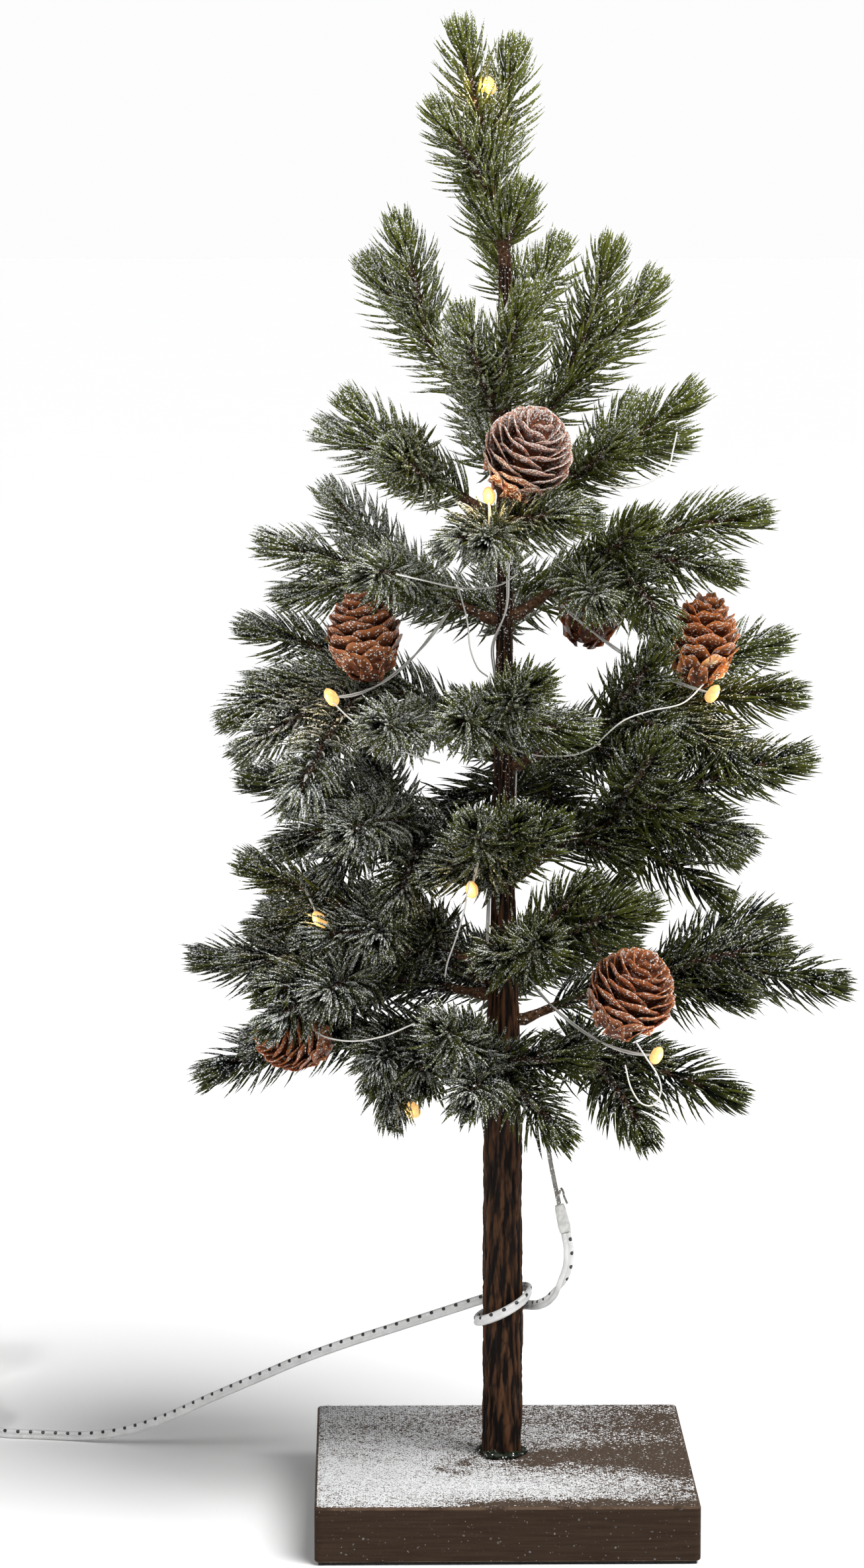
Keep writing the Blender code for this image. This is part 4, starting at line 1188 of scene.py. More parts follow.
# Each branch has the drop of its root below the trunk's top, in millimetres, and its sprigs, as in the part
BRANCHES = {
    "branch_upper_left": (56, (Sprig(0, 58, 170, 62, -4), Sprig(0.45, 46, 199, 77))),
    "branch_upper_rear": (30, (Sprig(0, 65, 67, 41, -4), Sprig(0.35, 44, 100, 44))),
    "branch_upper_right": (68, (Sprig(0, 64, 9, 67, -4), Sprig(0.3, 44, 350, 82, -2))),
    "branch_upper_front": (66, (Sprig(0, 54, 249, 52), Sprig(0.25, 46, 280, 60))),
    "branch_second_left": (97, (Sprig(0, 67, 176, 50, -5), Sprig(0.3, 65, 224, 30, -2))),
    "branch_second_right": (93, (Sprig(0, 79, 353, 48, -5), Sprig(0.4, 64, 30, 40))),
    "branch_second_front": (97, (Sprig(0, 77, 262, -8, -1), Sprig(0.25, 70, 300, 2, 2))),
    "branch_second_rear": (88, (Sprig(0, 76, 100, 44), Sprig(0.35, 68, 70, 34))),
    "branch_third_left": (
        139,
        (Sprig(0, 99, 174, 30, 3), Sprig(0.3, 92, 141, 48), Sprig(0.25, 92, 231, 22, 5)),
    ),
    "branch_third_right": (137, (Sprig(0, 106, 3, 39, 8), Sprig(0.25, 71, 321, 42))),
    "branch_third_rear": (
        150,
        (Sprig(0, 92, 88, 36), Sprig(0.35, 92, 58, 28), Sprig(0.3, 88, 117, 16)),
    ),
    "branch_fourth_left": (190, (Sprig(0, 114, 159, 44, 8), Sprig(0.3, 115, 183, 8, 10))),
    "branch_fourth_front": (182, (Sprig(0, 97, 257, 13, 2), Sprig(0.25, 91, 278, 29, 2))),
    "branch_fourth_right": (
        197,
        (Sprig(0, 121, 2, 26, 10), Sprig(0.4, 128, 24, 43, 6), Sprig(0.3, 73, 327, 53)),
    ),
    "branch_fourth_rear": (
        214,
        (Sprig(0, 100, 76, 24), Sprig(0.3, 98, 100, 34), Sprig(0.35, 104, 50, 18)),
    ),
    "branch_fifth_left": (
        235,
        (Sprig(0, 108, 169, 31, 5), Sprig(0.35, 99, 126, 42), Sprig(0.3, 102, 229, 19, 4)),
    ),
    "branch_fifth_front": (245, (Sprig(0, 91, 260, 40), Sprig(0.3, 84, 284, 38))),
    "branch_fifth_right": (
        240,
        (Sprig(0, 124, 346, 50, 8), Sprig(0.3, 85, 315, 63), Sprig(0.35, 116, 31, -5, 8)),
    ),
    "branch_sixth_left": (277, (Sprig(0, 110, 196, 48), Sprig(0.35, 114, 148, 12, 3))),
    "branch_sixth_front": (275, (Sprig(0, 101, 278, 26), Sprig(0.3, 102, 299, 38))),
    "branch_low_left": (289, (Sprig(0, 129, 171, 12, 2), Sprig(0.3, 120, 216, 13, 3))),
    "branch_low_right": (299, (Sprig(0, 140, 0, 12, 12), Sprig(0.4, 126, 23, 32, 6))),
    "branch_low_rear": (
        296,
        (Sprig(0, 112, 92, 6, 4), Sprig(0.3, 112, 122, 14, 4), Sprig(0.3, 112, 58, 12, 4)),
    ),
    "branch_bottom_left": (308, (Sprig(0, 125, 185, -15, 12), Sprig(0.3, 79, 230, -2))),
    "branch_bottom_front": (
        312,
        (Sprig(0, 101, 260, -4, 4), Sprig(0.25, 83, 287, -21), Sprig(0.25, 112, 254, 32)),
    ),
    "branch_bottom_right": (313, (Sprig(0, 100, 348, -17, 6), Sprig(0.3, 82, 313, -26, 2))),
}
LEADER = (Sprig(0, 22, 213, 93, 0), Sprig(0.3, 15, 72, 86), Sprig(0.25, 42, 226, 61))
# Small sprigs between the main ones, too slight to be in the solid branches
TWIGS = {
    "branch_fourth_rear": (Sprig(0.3, 70, 135, -25, 2), Sprig(0.3, 70, 40, -28, 2)),
    "branch_low_rear": (Sprig(0.3, 78, 140, 42, 3), Sprig(0.3, 78, 45, 44, 3), Sprig(0.2, 60, 170, 30, 2)),
    "leader": (Sprig(0.03, 17, 300, 30), Sprig(0.03, 15, 190, 34), Sprig(0.02, 14, 40, 24)),
    "branch_upper_front": (Sprig(0.1, 24, 305, 44),),
    "branch_second_front": (Sprig(0.35, 74, 248, -12, 3), Sprig(0.3, 67, 300, 3, 2)),
    "branch_second_left": (Sprig(0.4, 76, 172, 34), Sprig(0.5, 60, 227, 30)),
    "branch_second_right": (Sprig(0.3, 60, 325, 26, 2), Sprig(0.5, 76, 8, 26)),
    "branch_third_left": (Sprig(0.45, 94, 168, 6), Sprig(0.3, 44, 148, 7)),
    "branch_third_right": (
        Sprig(0.35, 86, 317, -4, 3),
        Sprig(0.22, 72, 300, 6, 3),
        Sprig(0.4, 96, 344, 16, 2),
        Sprig(0.25, 66, 20, -6),
    ),
    "branch_fourth_left": (
        Sprig(0.45, 116, 223, -16, 4),
        Sprig(0.4, 112, 196, -1, 3),
        Sprig(0.3, 106, 172, 22, 3),
        Sprig(0.2, 100, 238, 20, -3),
    ),
    "branch_fourth_right": (
        Sprig(0.4, 112, 356, -6, 4),
        Sprig(0.3, 86, 323, 16, 3),
        Sprig(0.45, 104, 342, -6, 3),
        Sprig(0.2, 66, 340, -10, 2),
        Sprig(0.25, 80, 20, -4, 2),
    ),
    "branch_fourth_front": (Sprig(0.3, 84, 275, 20, 2), Sprig(0.4, 70, 300, 6)),
    "branch_fifth_left": (
        Sprig(0.4, 82, 202, -7),
        Sprig(0.25, 75, 235, -14, 3),
        Sprig(0.35, 104, 150, 30),
        Sprig(0.4, 96, 182, 2, 2),
    ),
    "branch_fifth_right": (
        Sprig(0.35, 88, 325, 32, 3),
        Sprig(0.4, 98, 345, 8, 2),
        Sprig(0.35, 104, 8, 8, 4),
        Sprig(0.2, 60, 330, 8),
        Sprig(0.25, 92, 355, -14, 4),
    ),
    "branch_fifth_front": (Sprig(0.35, 88, 274, 40, 2), Sprig(0.3, 75, 244, 13, 2)),
    "branch_sixth_left": (
        Sprig(0.4, 86, 233, 17, 3),
        Sprig(0.4, 104, 178, 12, 3),
        Sprig(0.2, 66, 215, 4, 2),
        Sprig(0.3, 98, 214, 19, 2),
        Sprig(0.2, 52, 236, 24, 2),
    ),
    "branch_sixth_front": (
        Sprig(0.35, 83, 294, 43, 3),
        Sprig(0.35, 88, 312, 32, 3),
        Sprig(0.3, 76, 262, 10, 2),
    ),
    "branch_low_left": (
        Sprig(0.35, 110, 227, 11, 4),
        Sprig(0.3, 62, 122, 11),
        Sprig(0.4, 112, 190, 16, 4),
        Sprig(0.35, 122, 219, -2, 6),
    ),
    "branch_low_right": (
        Sprig(0.35, 118, 341, 35, 3),
        Sprig(0.3, 103, 349, 10, 3),
        Sprig(0.22, 74, 24, 8, 3),
    ),
    "branch_bottom_front": (Sprig(0.3, 86, 249, 24, 3), Sprig(0.3, 70, 300, 10)),
    "branch_bottom_right": (Sprig(0.25, 62, 291, 12, 3), Sprig(0.35, 74, 330, 4, 3)),
    "branch_bottom_left": (
        Sprig(0.35, 108, 192, 2, 4),
        Sprig(0.5, 74, 206, 4, 4),
        Sprig(0.3, 80, 229, -8, 2),
        Sprig(0.2, 74, 244, -8, 2),
        Sprig(0.3, 68, 229, -26, 2),
    ),
}
BARE_STEM = 11 * MM
BARE_FORK = 3 * MM
BARE_LEADER = 4 * MM
SOCKET_DEPTH = 3.5 * MM
# Needles: how close, how long, how wide, and the angle they leave the stem at
NEEDLES_PER_METRE = 2900
NEEDLE_LENGTH = 20 * MM
TIP_NEEDLE_LENGTH = 16.5 * MM
NEEDLE_WIDTH = 1.55 * MM
NEEDLE_DEPTH = 0.95 * MM
NEEDLE_ANGLE = 49
NEEDLE_CURL = 28
NEEDLE_ROOT = 0.9 * MM
TIP_ZONE = 20 * MM
TUFT_NEEDLES = 46
TUFT_SPREAD = 27
NEEDLE_STOPS = np.array((0, 0.22, 0.48, 0.76, 1.0))
NEEDLE_WIDTHS = np.array((0.60, 0.92, 1.0, 0.74, 0.06))
# Frost along each needle, thinnest at its foot, where the thin frost also serves as painted shade near the
# stem.
FROST_AND_SHADE_ALONG = np.array((0.25, 0.75, 1.15, 1.3, 1.3))
SECTION = circle(4)


def sprigs_of(name):
    return LEADER if name == "leader" else BRANCHES[name][1]


def branch_place(name):
    """A branch's root, where it bends, and the point on the trunk's axis that its tips are given from."""
    if name == "leader":
        root = UP * (TRUNK_TOP + TOUCH + ROOT_RADIUS)
        return root, root
    drop, sprigs = BRANCHES[name]
    centre = UP * (TRUNK_TOP - drop * MM)
    reach = trunk_radius(centre[2]) + TOUCH + ROOT_RADIUS
    return centre + bearing(sprigs[0].compass) * reach, centre


def sprig_curves(name, twigs=()):
    """The start, end and bow of each sprig's curve; the first is the main stem's."""
    root, centre = branch_place(name)
    sprigs = (*sprigs_of(name), *twigs)
    tips = [centre + bearing(sprig.compass) * sprig.reach * MM + UP * sprig.rise * MM for sprig in sprigs]
    main = (root, tips[0], sprigs[0].bow * MM)
    sides = [(bowed(*main, sprig.start), tip, sprig.bow * MM) for sprig, tip in zip(sprigs[1:], tips[1:])]
    return [main, *sides]


def sprig_frost_and_shade(tip, rng):
    """Frost lies thickest on the left, in front and high up, and thinnest low on the right, where the thinner
    frost also serves as painted shade.
    """
    left = smooth_step(-tip[0], -0.06, 0.09)
    front = smooth_step(-tip[1], -0.02, 0.09)
    height = smooth_step(tip[2], 0.20, 0.44)
    return 0.03 + 0.18 * left + 0.10 * front + 0.17 * height + rng.uniform(-0.06, 0.10)


def needle_places(length, bare, rng):
    """Along a stem, where the needles start, their angle from it and their length."""
    stem = length - TIP_NEEDLE_LENGTH * 0.85
    count = int((stem - bare) * NEEDLES_PER_METRE)
    along = bare + (stem - bare) * (np.arange(count) + rng.uniform(0, 1, count)) / count
    near_tip = smooth_step(along, stem - TIP_ZONE, stem)
    angle = NEEDLE_ANGLE - near_tip * TUFT_SPREAD + rng.normal(0, 5.0, count)
    size = NEEDLE_LENGTH + (TIP_NEEDLE_LENGTH - NEEDLE_LENGTH) * near_tip
    size = size * rng.uniform(0.84, 1.08, count)
    tuft_angle = TUFT_SPREAD * np.sqrt(rng.random(TUFT_NEEDLES))
    along = np.concatenate([along, stem - rng.uniform(0, 2.5, TUFT_NEEDLES) * MM])
    angle = np.concatenate([angle, tuft_angle])
    size = np.concatenate([size, TIP_NEEDLE_LENGTH * rng.uniform(0.78, 1.02, TUFT_NEEDLES)])
    return along, angle, size


def frames_along(curve, shares):
    """Places on a sprig's curve, the way it runs there, and two directions across it."""
    forward = unit(bowed(*curve, np.minimum(shares + 0.02, 1.0)) - bowed(*curve, shares - 0.02))
    across = unit(np.cross(forward, UP + np.array((0.01, 0.02, 0))))
    return bowed(*curve, shares), forward, across, np.cross(across, forward)


def needle_spines(curve, bare, rng):
    """The middle line of each needle on a sprig, the way its stem runs, and the way it stands off it."""
    length = np.linalg.norm(curve[1] - curve[0])
    along, angle, size = needle_places(length, bare, rng)
    foot, forward, across, other = frames_along(curve, along / length)
    count = len(along)
    turn = np.arange(count) * GOLDEN_ANGLE + rng.normal(0, 0.22, count)
    out = across * np.cos(turn)[:, None] + other * np.sin(turn)[:, None]
    angle = angle - 7 * out[:, 2] * np.clip((size / NEEDLE_LENGTH - 0.8) * 5, 0, 1)
    curl = NEEDLE_CURL * rng.uniform(0.5, 1.35, count)
    spine = [foot + out * NEEDLE_ROOT]
    for start, stop in zip(NEEDLE_STOPS, NEEDLE_STOPS[1:]):
        bend = np.radians(np.maximum(angle + curl * (0.35 - (start + stop) / 2), 3))[:, None]
        way = forward * np.cos(bend) + out * np.sin(bend)
        spine.append(spine[-1] + way * (size * (stop - start))[:, None])
    return np.stack(spine, axis=1), forward, out


def needles_on(curve, bare, frost, tone, rng):
    """Points, faces and attributes of one sprig's needles."""
    spine, forward, out = needle_spines(curve, bare, rng)
    count = len(spine)
    tangents = unit(np.gradient(spine, axis=1))
    wide = unit(np.cross(forward, out))[:, None] + rng.normal(0, 0.25, (count, 1, 3))
    wide = unit(wide - (wide * tangents).sum(-1, keepdims=True) * tangents)
    deep = np.cross(tangents, wide)
    half = (NEEDLE_WIDTHS * rng.uniform(0.85, 1.12, (count, 1)))[..., None, None] / 2
    ring = SECTION[None, None, :, :1] * wide[:, :, None] * NEEDLE_WIDTH
    ring = ring + SECTION[None, None, :, 1:] * deep[:, :, None] * NEEDLE_DEPTH
    points = spine[:, :, None] + ring * half
    # Frost, thicker on upward faces, and thinned at each needle's foot and low on the right, partly as
    # painted shade.
    frost_and_shade = frost + rng.normal(0, 0.07, (count, 1, 1)) + 0.24 * unit(ring)[..., 2]
    frost_and_shade = (frost_and_shade + 0.10 * out[:, 2][:, None, None]) * FROST_AND_SHADE_ALONG[:, None]
    shape = points.shape[:3]
    # The tint carries the sprig's painted light and shade, plus a random tone for each needle.
    attributes = {
        "along": np.broadcast_to(NEEDLE_STOPS[None, :, None], shape),
        "tint": np.broadcast_to((tone + rng.normal(0, 0.12, count))[:, None, None], shape),
        "frost": np.clip(frost_and_shade, 0.02, 0.95),
    }
    faces = needle_faces(count, len(NEEDLE_STOPS), len(SECTION))
    return (points.reshape(-1, 3), faces), {key: value.ravel() for key, value in attributes.items()}


def needle_faces(count, rings, corners):
    """Faces of many needles, each of rings of corners with a closed foot and tip."""
    one = ring_faces(rings, corners)[0]
    caps = np.vstack(ring_caps(rings, corners))
    one = np.vstack([one, caps])
    index = one[None] + rings * corners * np.arange(count)[:, None, None]
    return [index.reshape(-1, corners)]


def joined_attributes(groups):
    return {key: np.concatenate([group[key] for group in groups]) for key in groups[0]}


def stem_of(curve, bare, is_main, rng):
    """A sprig's stem: bark-brown at its root, then knobbly where needles leave it."""
    start, end, bow = curve
    length = np.linalg.norm(end - start)
    shares = np.linspace(0, 1 - TIP_NEEDLE_LENGTH * 0.9 / length, max(8, int(length / (1.6 * MM))))
    path = bowed(start, end, bow, shares)
    along = shares * length
    radius = np.interp(shares, (0, 1), (1.75, 1.15)) * MM + rng.uniform(0, 0.28, len(path)) * MM
    if is_main:
        inward = (UP * start[2] - start) * (np.hypot(start[0], start[1]) > MM) - UP * (start[2] > TRUNK_TOP)
        inward = unit(inward) * SOCKET_DEPTH
        path = np.vstack([start + inward, start + inward / 2, path])
        radius = np.concatenate([[2.6 * MM, 2.5 * MM], radius])
        radius[2:6] += np.array((0.8, 0.6, 0.35, 0.15)) * MM
        along = np.concatenate([[0, 0], along])
    shape = tube(path, radius, 8)
    frost = np.repeat(0.05 + 0.2 * smooth_step(along, bare, bare + 6 * MM), 8)
    return shape, frost


def bare_length(name, number):
    """How much of a sprig's stem has no needles."""
    if number:
        return BARE_FORK
    return BARE_LEADER if name == "leader" else BARE_STEM


def make_branch(name, number, needles, bark):
    rng = np.random.default_rng(SEED + number)
    leaves, stems = [], []
    for i, curve in enumerate(sprig_curves(name, TWIGS.get(name, ()))):
        bare = bare_length(name, i)
        tip = curve[1]
        # Painted light: sprigs high up are tinted a lighter olive, low ones darker, and those in front a
        # little lighter.
        height = smooth_step(tip[2], 0.15, 0.58)
        tone = -0.04 + 0.70 * height**1.3 + 0.10 * smooth_step(-tip[1], 0, 0.1)
        leaves.append(needles_on(curve, bare, sprig_frost_and_shade(tip, rng), tone, rng))
        stems.append(stem_of(curve, bare, i == 0, rng))
    place = name.removeprefix("branch_")
    attributes = joined_attributes([leaf[1] for leaf in leaves])
    foliage = mesh_object("needles_" + place, merged([leaf[0] for leaf in leaves]), needles, **attributes)
    frost = np.concatenate([stem[1] for stem in stems])
    stem = mesh_object("stem_" + place, merged([stem[0] for stem in stems]), bark, frost=frost)
    settle(foliage, name, "needles", name)
    settle(stem, name, "bark")


def make_branches():
    needles, bark = needle_finish(), stem_finish()
    for number, name in enumerate((*BRANCHES, "leader")):
        make_branch(name, number, needles, bark)


# ---------------------------------------------------------------- cones


class Cone(NamedTuple):
    """A pine cone: its branch, where its middle is from the trunk's axis, how it leans, its size."""

    branch: str
    reach: float
    compass: float
    rise: float
    lean: float
    lean_compass: float
    radius: float
    height: float
    openness: float
    frost: float


# Rise is above the branch's root, and lean is from upright. Millimetres and degrees. Openness flares the
# scales. The radii are the scales' own: their flare takes them out to the solid cone.
CONES = {
    "cone_top_front": Cone("branch_second_front", 44, 280, 26, 38, 300, 15.6, 37, 0.30, 0.56),
    "cone_left": Cone("branch_third_left", 63, 209, -3, 8, 200, 13.5, 34, 0.15, 0.28),
    "cone_right": Cone("branch_third_right", 79, 347, -8, 10, 330, 12, 35, 1.0, 0.30),
    "cone_rear": Cone("branch_third_right", 47, 40, -1, 30, 60, 12, 30, 0.4, 0.25),
    "cone_low_front": Cone("branch_sixth_front", 88, 302, 0, 30, 320, 15.4, 35, 0.25, 0.28),
    "cone_low_left": Cone("branch_low_left", 93, 207, -10, 78, 215, 11, 32, 0.2, 0.25),
}
CONE_OUTLINE = ((0, 0.52), (0.10, 0.80), (0.28, 1.0), (0.50, 0.98), (0.72, 0.80), (0.88, 0.56), (1.0, 0.22))
SCALE_COUNT = 46
SCALE_ACROSS = 13
SCALE_ALONG = 9
SCALE_THICKNESS = 0.9 * MM
CONE_WIRE_RADIUS = 0.55 * MM
STALK_FROM = 0.2
# Cones more open than this have narrow, lit scales, and those frostier than this are whitest on top
OPEN_CONE = 0.8
SNOWY_CONE = 0.4


def scale_radii(share, cone, u, v):
    """How far a scale's outer face is from the cone's axis: cupped, and flared at its rim."""
    reach = np.interp(share, *zip(*CONE_OUTLINE)) * cone.radius * MM
    inner = reach * (0.52 - 0.20 * share)
    flare = (0.09 + 0.30 * cone.openness) * (1 - 0.5 * share) * v**3
    outer = inner + (reach - inner) * (1 - (1 - v) ** 2.0) * (1.0 + flare)
    return outer + 0.05 * reach * (1 - np.abs(u) ** 2) * v - 0.10 * reach * np.abs(u) ** 3


def scale_heights(share, cone, u, v, phase):
    """How high a scale's outer face is: long in its middle, with a slightly wavy rim."""
    height = cone.height * MM
    long = height * (0.30 - 0.08 * share)
    rounding = np.sqrt(np.clip(1 - np.abs(u) ** 2.6 * 0.92, 0, 1))
    wobble = 0.05 * np.sin(u * 7 + phase) * v
    return height * (share * 0.86 - 0.50) - long * 0.25 + long * v * (rounding + wobble)


def scale_angles(share, cone, u, v):
    """How far round the cone a scale wraps, to both sides of its middle."""
    half = math.radians(34 + 40 * share**2) * (0.8 if cone.openness > OPEN_CONE else 1.0)
    return u * half * (0.42 + 0.58 * np.sin(np.minimum(v * 1.15, 1) * math.pi / 2))


def cone_scale(k, cone, rng):
    """One scale: a cupped petal that wraps the cone and stands off it at its rim."""
    share = (k + 0.5) / SCALE_COUNT
    turn = k * GOLDEN_ANGLE + rng.normal(0, 0.05)
    u = np.linspace(-1, 1, SCALE_ACROSS)[:, None]
    v = np.linspace(0, 1, SCALE_ALONG)[None]
    radii = scale_radii(share, cone, u, v)
    heights = scale_heights(share, cone, u, v, rng.uniform(0, 6))
    angles = turn + scale_angles(share, cone, u, v)
    outward = np.stack([np.cos(angles), np.sin(angles), 0 * angles], axis=-1)
    outside = outward * radii[..., None] + UP * heights[..., None]
    along = unit(outside[:, -1] - outside[:, -2])[:, None]
    thickness = SCALE_THICKNESS * (1.1 - 0.55 * v) * (1 - 0.35 * np.abs(u) ** 4)
    inside = outside - (outward + 0.25 * along) * thickness[..., None]
    rim = np.maximum(v**3 + 0 * u, np.abs(u) ** 8 * v)
    frost = cone.frost * (0.35 + 0.9 * rim) + 0.22 * share * (cone.frost > SNOWY_CONE)
    return grid_shell(outside, inside), np.tile(rim.ravel(), 2), np.tile(frost.ravel(), 2)


def grid_shell(outside, inside):
    """A closed shell between two grids of the same size."""
    rows, columns = outside.shape[:2]
    index = np.arange(rows * columns).reshape(rows, columns)
    front = np.stack([index[:-1, :-1], index[1:, :-1], index[1:, 1:], index[:-1, 1:]], axis=-1).reshape(-1, 4)
    rear = front[:, ::-1] + rows * columns
    rim = np.concatenate([index[0, :-1], index[:-1, -1], index[-1, :0:-1], index[:0:-1, 0]])
    after = np.roll(rim, -1)
    edge = np.stack([rim, after, after + rows * columns, rim + rows * columns], axis=1)
    points = np.vstack([outside.reshape(-1, 3), inside.reshape(-1, 3)])
    return points, [front, rear, edge]


def nearest_on_branch(branch, point):
    shares = np.arange(40) / 40
    spots = np.vstack([bowed(*curve, shares) for curve in sprig_curves(branch)])
    return spots[np.linalg.norm(spots - point, axis=1).argmin()]


def on_branch(item):
    centre = branch_place(item.branch)[1]
    return centre + bearing(item.compass) * item.reach * MM + UP * item.rise * MM


def leaned(points, place, lean, lean_compass):
    axis = Vector(np.cross(UP, bearing(lean_compass)))
    turn = np.array(Matrix.Rotation(math.radians(lean), 3, axis))
    return points @ turn.T + place


def make_cone(name, cone, finish):
    rng = np.random.default_rng(SEED + len(name))
    shapes, rims, frosts = [], [], []
    for k in range(SCALE_COUNT):
        shape, rim, frost = cone_scale(k, cone, rng)
        shapes.append(shape)
        rims.append(rim)
        frosts.append(frost)
    radius, height = cone.radius * MM, cone.height * MM
    core = np.array([(-0.46, 0.20), (-0.44, 0.45), (-0.2, 0.62), (0.1, 0.55), (0.35, 0.3), (0.42, 0.1)])
    core_shape = lathe(core * (height, radius), 20, (0, 0, 0), UP, np.array((1.0, 0, 0)))
    shapes.append(core_shape)
    rims.append(np.zeros(len(core_shape[0])))
    frosts.append(np.full(len(core_shape[0]), 0.05))
    points, faces = merged(shapes)
    place = on_branch(cone)
    points = leaned(points, place, cone.lean, cone.lean_compass)
    attributes = {"rim": np.concatenate(rims), "frost": np.concatenate(frosts)}
    body = mesh_object(name + "_scales", (points, faces), finish, **attributes)
    sharp_above(body, 55)
    settle(body, cone.branch, "cone_scales", name)
    make_cone_wire(name, cone, place)


def make_cone_wire(name, cone, place):
    axis = leaned(UP, 0, cone.lean, cone.lean_compass)
    base = place - axis * cone.height * MM * STALK_FROM
    held = nearest_on_branch(cone.branch, base)
    path = evenly(bowed(base, held, -1.5 * MM, np.linspace(0, 1, 12)), 0.8 * MM)
    wire = mesh_object(name + "_stalk", tube(path, CONE_WIRE_RADIUS, 8), bpy.data.materials["stem_bark"],
                       frost=np.full(len(path) * 8, 0.15))
    settle(wire, cone.branch, "bark")


def make_cones():
    closed = cone_finish("cone_scales", 0.18)
    # This copy has the orange glow of the lamp under the open cone painted into its scales.
    lit = cone_finish("cone_scales_lit", 0.85)
    for name, cone in CONES.items():
        make_cone(name, cone, lit if cone.openness > OPEN_CONE else closed)


# ---------------------------------------------------------------- lamps and their wire


class Light(NamedTuple):
    """A lamp of the light string: its branch, its place from the trunk's axis, and its wire."""

    branch: str
    reach: float
    compass: float
    rise: float
    wire_start: float
    wire_sag: float = 0


LIGHTS = {
    "light_top": Light("leader", 15, 245, 66, 0.72),
    "light_cone_top": Light("branch_second_front", 46, 261, 10, 0.58),
    "light_left": Light("branch_third_left", 79, 211, -26, 0.15, 10),
    "light_right": Light("branch_third_right", 84, 344, -29, 0.12, 6),
    "light_middle": Light("branch_fifth_front", 62, 257, 8, 0.62),
    "light_low_front": Light("branch_sixth_front", 94, 307, -24, 0.15, 10),
    "light_low_left": Light("branch_bottom_left", 54, 228, -19, 0.2),
    "light_far_left": Light("branch_sixth_left", 83, 209, 25, 0.72),
}
LIGHT_RADIUS = 2.4 * MM
LIGHT_LENGTH = 8 * MM
LIGHT_LEAN = 35
LIGHT_POWER = 0.008
THIN_WIRE_RADIUS = 0.35 * MM
PAIR_OFFSET = 0.38 * MM
LOOSE_RADIUS = 0.32 * MM


def lamp_shape():
    """Resin drop over a chip, with the wire pair passing through its foot."""
    shares = np.linspace(0, 1, 19)
    widths = np.interp(shares, (0, 0.06, 0.2, 0.45, 0.72, 0.9, 1), (0.30, 0.62, 0.88, 1.0, 0.86, 0.55, 0.16))
    heights = (shares - 0.5) * LIGHT_LENGTH
    profile = np.stack([heights, widths * LIGHT_RADIUS], axis=1)
    points, faces = lathe(profile, 20, (0, 0, 0), UP, np.array((1.0, 0, 0)))
    dent = 0.10 * ripples(51, points / MM, 3.5)
    points = points * (1 + dent[:, None] * (1, 1, 0))
    heat = np.repeat(np.exp(-(((shares - 0.5) / 0.26) ** 2)), 20)
    return points, faces, heat


def shine(name, place, branch):
    """The warm light that a lamp throws on what is round it."""
    data = bpy.data.lights.new(name + "_shine", "POINT")
    data.energy = LIGHT_POWER
    data.color = (1.0, 0.70, 0.32)
    data.shadow_soft_size = LIGHT_RADIUS
    glow = bpy.data.objects.new(name + "_shine", data)
    glow.location = place - UP * LIGHT_LENGTH * 0.2 + unit(place * (1, 1, 0)) * LIGHT_RADIUS * 2.2
    bpy.context.scene.collection.objects.link(glow)
    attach(glow, branch)


def wire_pair(path):
    """Two thin wires side by side along a path."""
    sides = carried_sides(path, any_side(path))
    twist = np.arange(len(path)) * 0.12
    offsets = turned_sides(path, sides, twist) * PAIR_OFFSET
    return merged([tube(path + offsets, THIN_WIRE_RADIUS, 6), tube(path - offsets, THIN_WIRE_RADIUS, 6)])


def make_lamp(name, light, glow, wire_finish):
    place = on_branch(light)
    points, faces, heat = lamp_shape()
    points = leaned(points, place, LIGHT_LEAN, light.compass)
    lamp = mesh_object(name + "_drop", (points, faces), glow, heat=heat)
    settle(lamp, light.branch, "lamp", name)
    held = bowed(*sprig_curves(light.branch)[0], light.wire_start)
    path = evenly(bowed(place, held, -light.wire_sag * MM, np.linspace(0, 1, 13)), 1.0 * MM)
    wire = mesh_object(name + "_wire", wire_pair(path), wire_finish)
    shine(name, place, light.branch)
    settle(wire, light.branch, "clear_wire")


# Loose stretches of the light string between the sprigs: the body each one moves with, and its route in
# millimetres
LOOSE_WIRES = {
    "wire_by_top_cone": (
        "branch_second_right",
        (
            (66, -24, 436),
            (64, -30, 429),
            (62, -34, 423),
            (55, -38, 418),
            (48, -40, 416),
            (39, -38, 416),
            (32, -34, 418),
        ),
    ),
    "wire_from_right_lamp": (
        "branch_third_right",
        ((77, -24, 338), (68, -36, 332), (55, -44, 330), (45, -48, 327), (38, -46, 321), (34, -42, 316)),
    ),
    "wire_to_trunk_right": (
        "stand",
        ((36, -42, 317), (27, -35, 312), (16, -25, 310), (8, -15, 310), (2, -9.5, 312)),
    ),
    "wire_below_left_sprig": (
        "branch_third_left",
        ((-19, -16, 378), (-17, -22, 371), (-15, -28, 363), (-14, -30, 353), (-11, -28, 345), (-7, -22, 341)),
    ),
    "wire_from_left_lamp": (
        "branch_third_left",
        ((-67, -48, 334), (-60, -54, 328), (-50, -56, 321), (-37, -50, 314), (-26, -44, 310)),
    ),
    "wire_under_low_cone": (
        "branch_sixth_front",
        (
            (48, -82, 208),
            (52, -85, 202),
            (56, -86.5, 196),
            (57.5, -87, 190),
            (55, -87, 184.5),
            (50, -87, 185),
            (46, -86, 191),
            (44, -83, 199),
        ),
    ),
    "wire_middle": (
        "branch_fifth_front",
        ((-15, -70, 268), (-17, -67, 256), (-20, -60, 244), (-23, -54, 234), (-24, -48, 227)),
    ),
    "wire_low_left": (
        "branch_low_left",
        ((-76, -48, 207), (-70, -51, 204), (-60, -54, 203), (-48, -55, 205), (-36, -50, 209)),
    ),
}
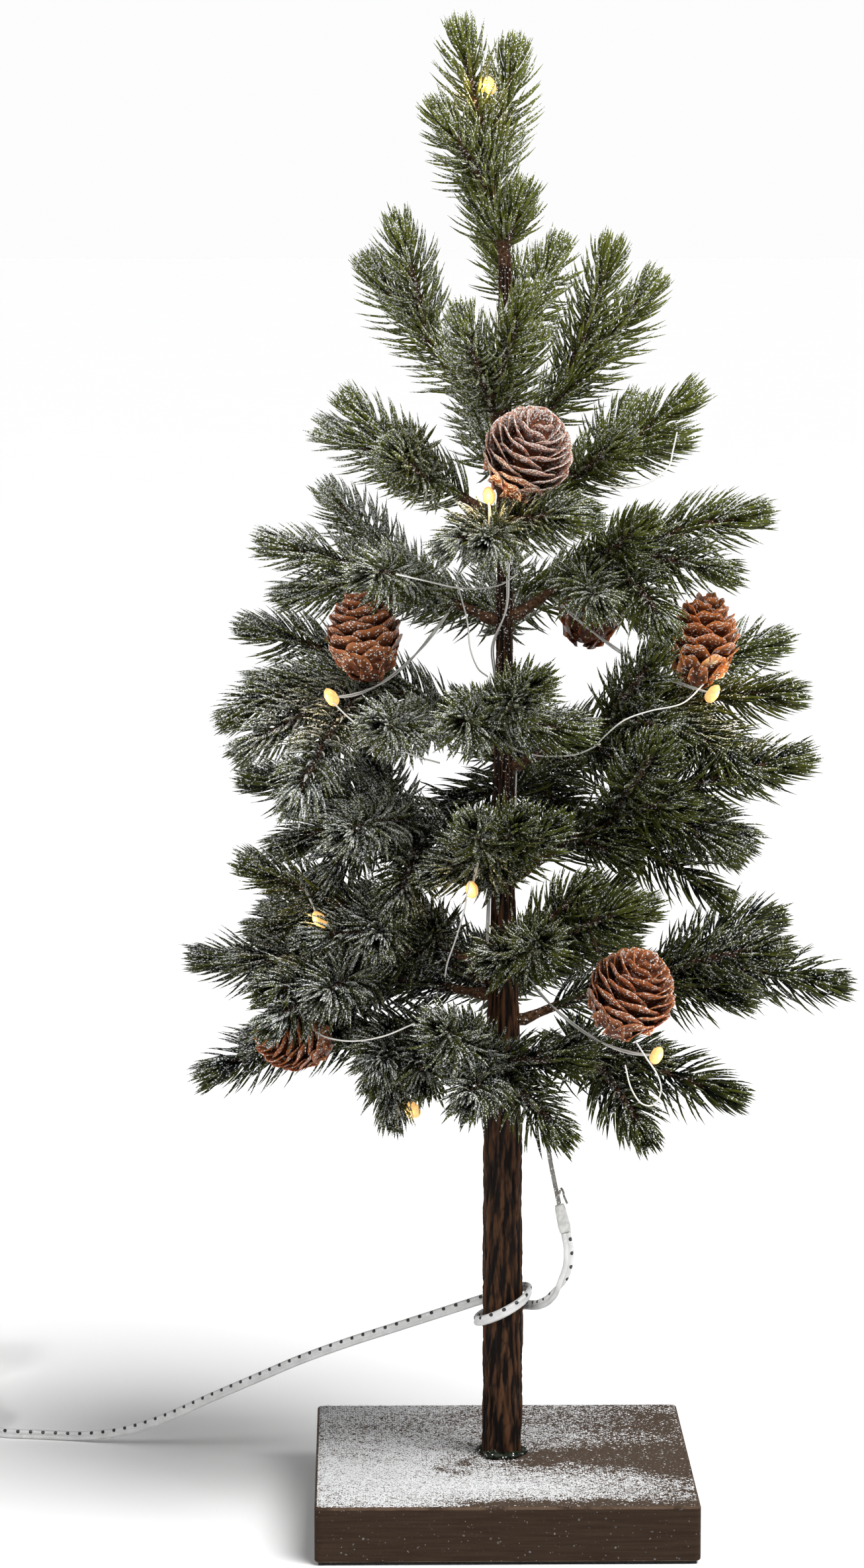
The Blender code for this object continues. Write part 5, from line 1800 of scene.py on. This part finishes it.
# This one hangs between the trunk and a sprig of branch_third_left
TRUNK_WIRE = ((5, -11.5, 380), (-3, -22, 376.5), (-17, -44, 377.5), (-32, -60, 382), (-43, -66, 385))
STRING_RADIUS = 0.7 * MM
STRING_FOOT = 150 * MM
STRING_TOP = 12 * MM
STRING_COMPASS = 314
STRING_TURNS = 3.0
STRING_SWING = 26
STRING_WAVES = 7


def make_light_string(finish):
    """The wire pair that climbs the trunk."""
    shares = np.linspace(0, 1, 120)
    heights = BASE_TOP + STRING_FOOT + (TRUNK_TOP - STRING_TOP - BASE_TOP - STRING_FOOT) * shares
    swing = STRING_SWING * np.sin(math.tau * STRING_WAVES * shares)
    compass = np.radians(STRING_COMPASS + 360 * STRING_TURNS * shares + swing)
    reach = trunk_radius(heights) + 2 * TOUCH + STRING_RADIUS
    path = np.stack([np.cos(compass) * reach, np.sin(compass) * reach, heights], axis=1)
    wire = mesh_object("light_string_pair", wire_pair(smooth_route(path, 1.5 * MM)), finish)
    settle(wire, "stand", "clear_wire", "light_string")


def loose_wire(name, route, finish):
    """A free stretch of the string's wire, and its path."""
    path = smooth_route(np.array(route) * MM, 1.2 * MM)
    wire = mesh_object(name, tube(path, LOOSE_RADIUS, 8), finish)
    return wire, path


def make_loose_wires(finish):
    for name, (body, route) in LOOSE_WIRES.items():
        wire, path = loose_wire(name, route, finish)
        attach(wire, body)
    wire, path = loose_wire("wire_across_trunk", TRUNK_WIRE, finish)
    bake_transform(wire)


def make_lamps():
    glow, wire_finish = lamp_finish(), bpy.data.materials["clear_wire"]
    for name, light in LIGHTS.items():
        make_lamp(name, light, glow, wire_finish)
    make_light_string(wire_finish)
    make_loose_wires(wire_finish)


# ---------------------------------------------------------------- all of it


def make_lead():
    wire_finish = clear_wire_finish()
    cord, path = make_cord()
    lead_wire("lead_wire_front", -0.5, wire_finish)
    lead_wire("lead_wire_rear", 0.5, wire_finish)
    sleeve = make_splice()
    make_fold_ends(wire_finish)
    pieces = [sleeve, make_coil_tie(), *make_adapter()]


make_camera()
make_studio()
make_lead()
make_block()
make_snow_grains()
make_trunk()
make_glue()
finish_cad_nodes()
make_branches()
make_cones()
make_lamps()
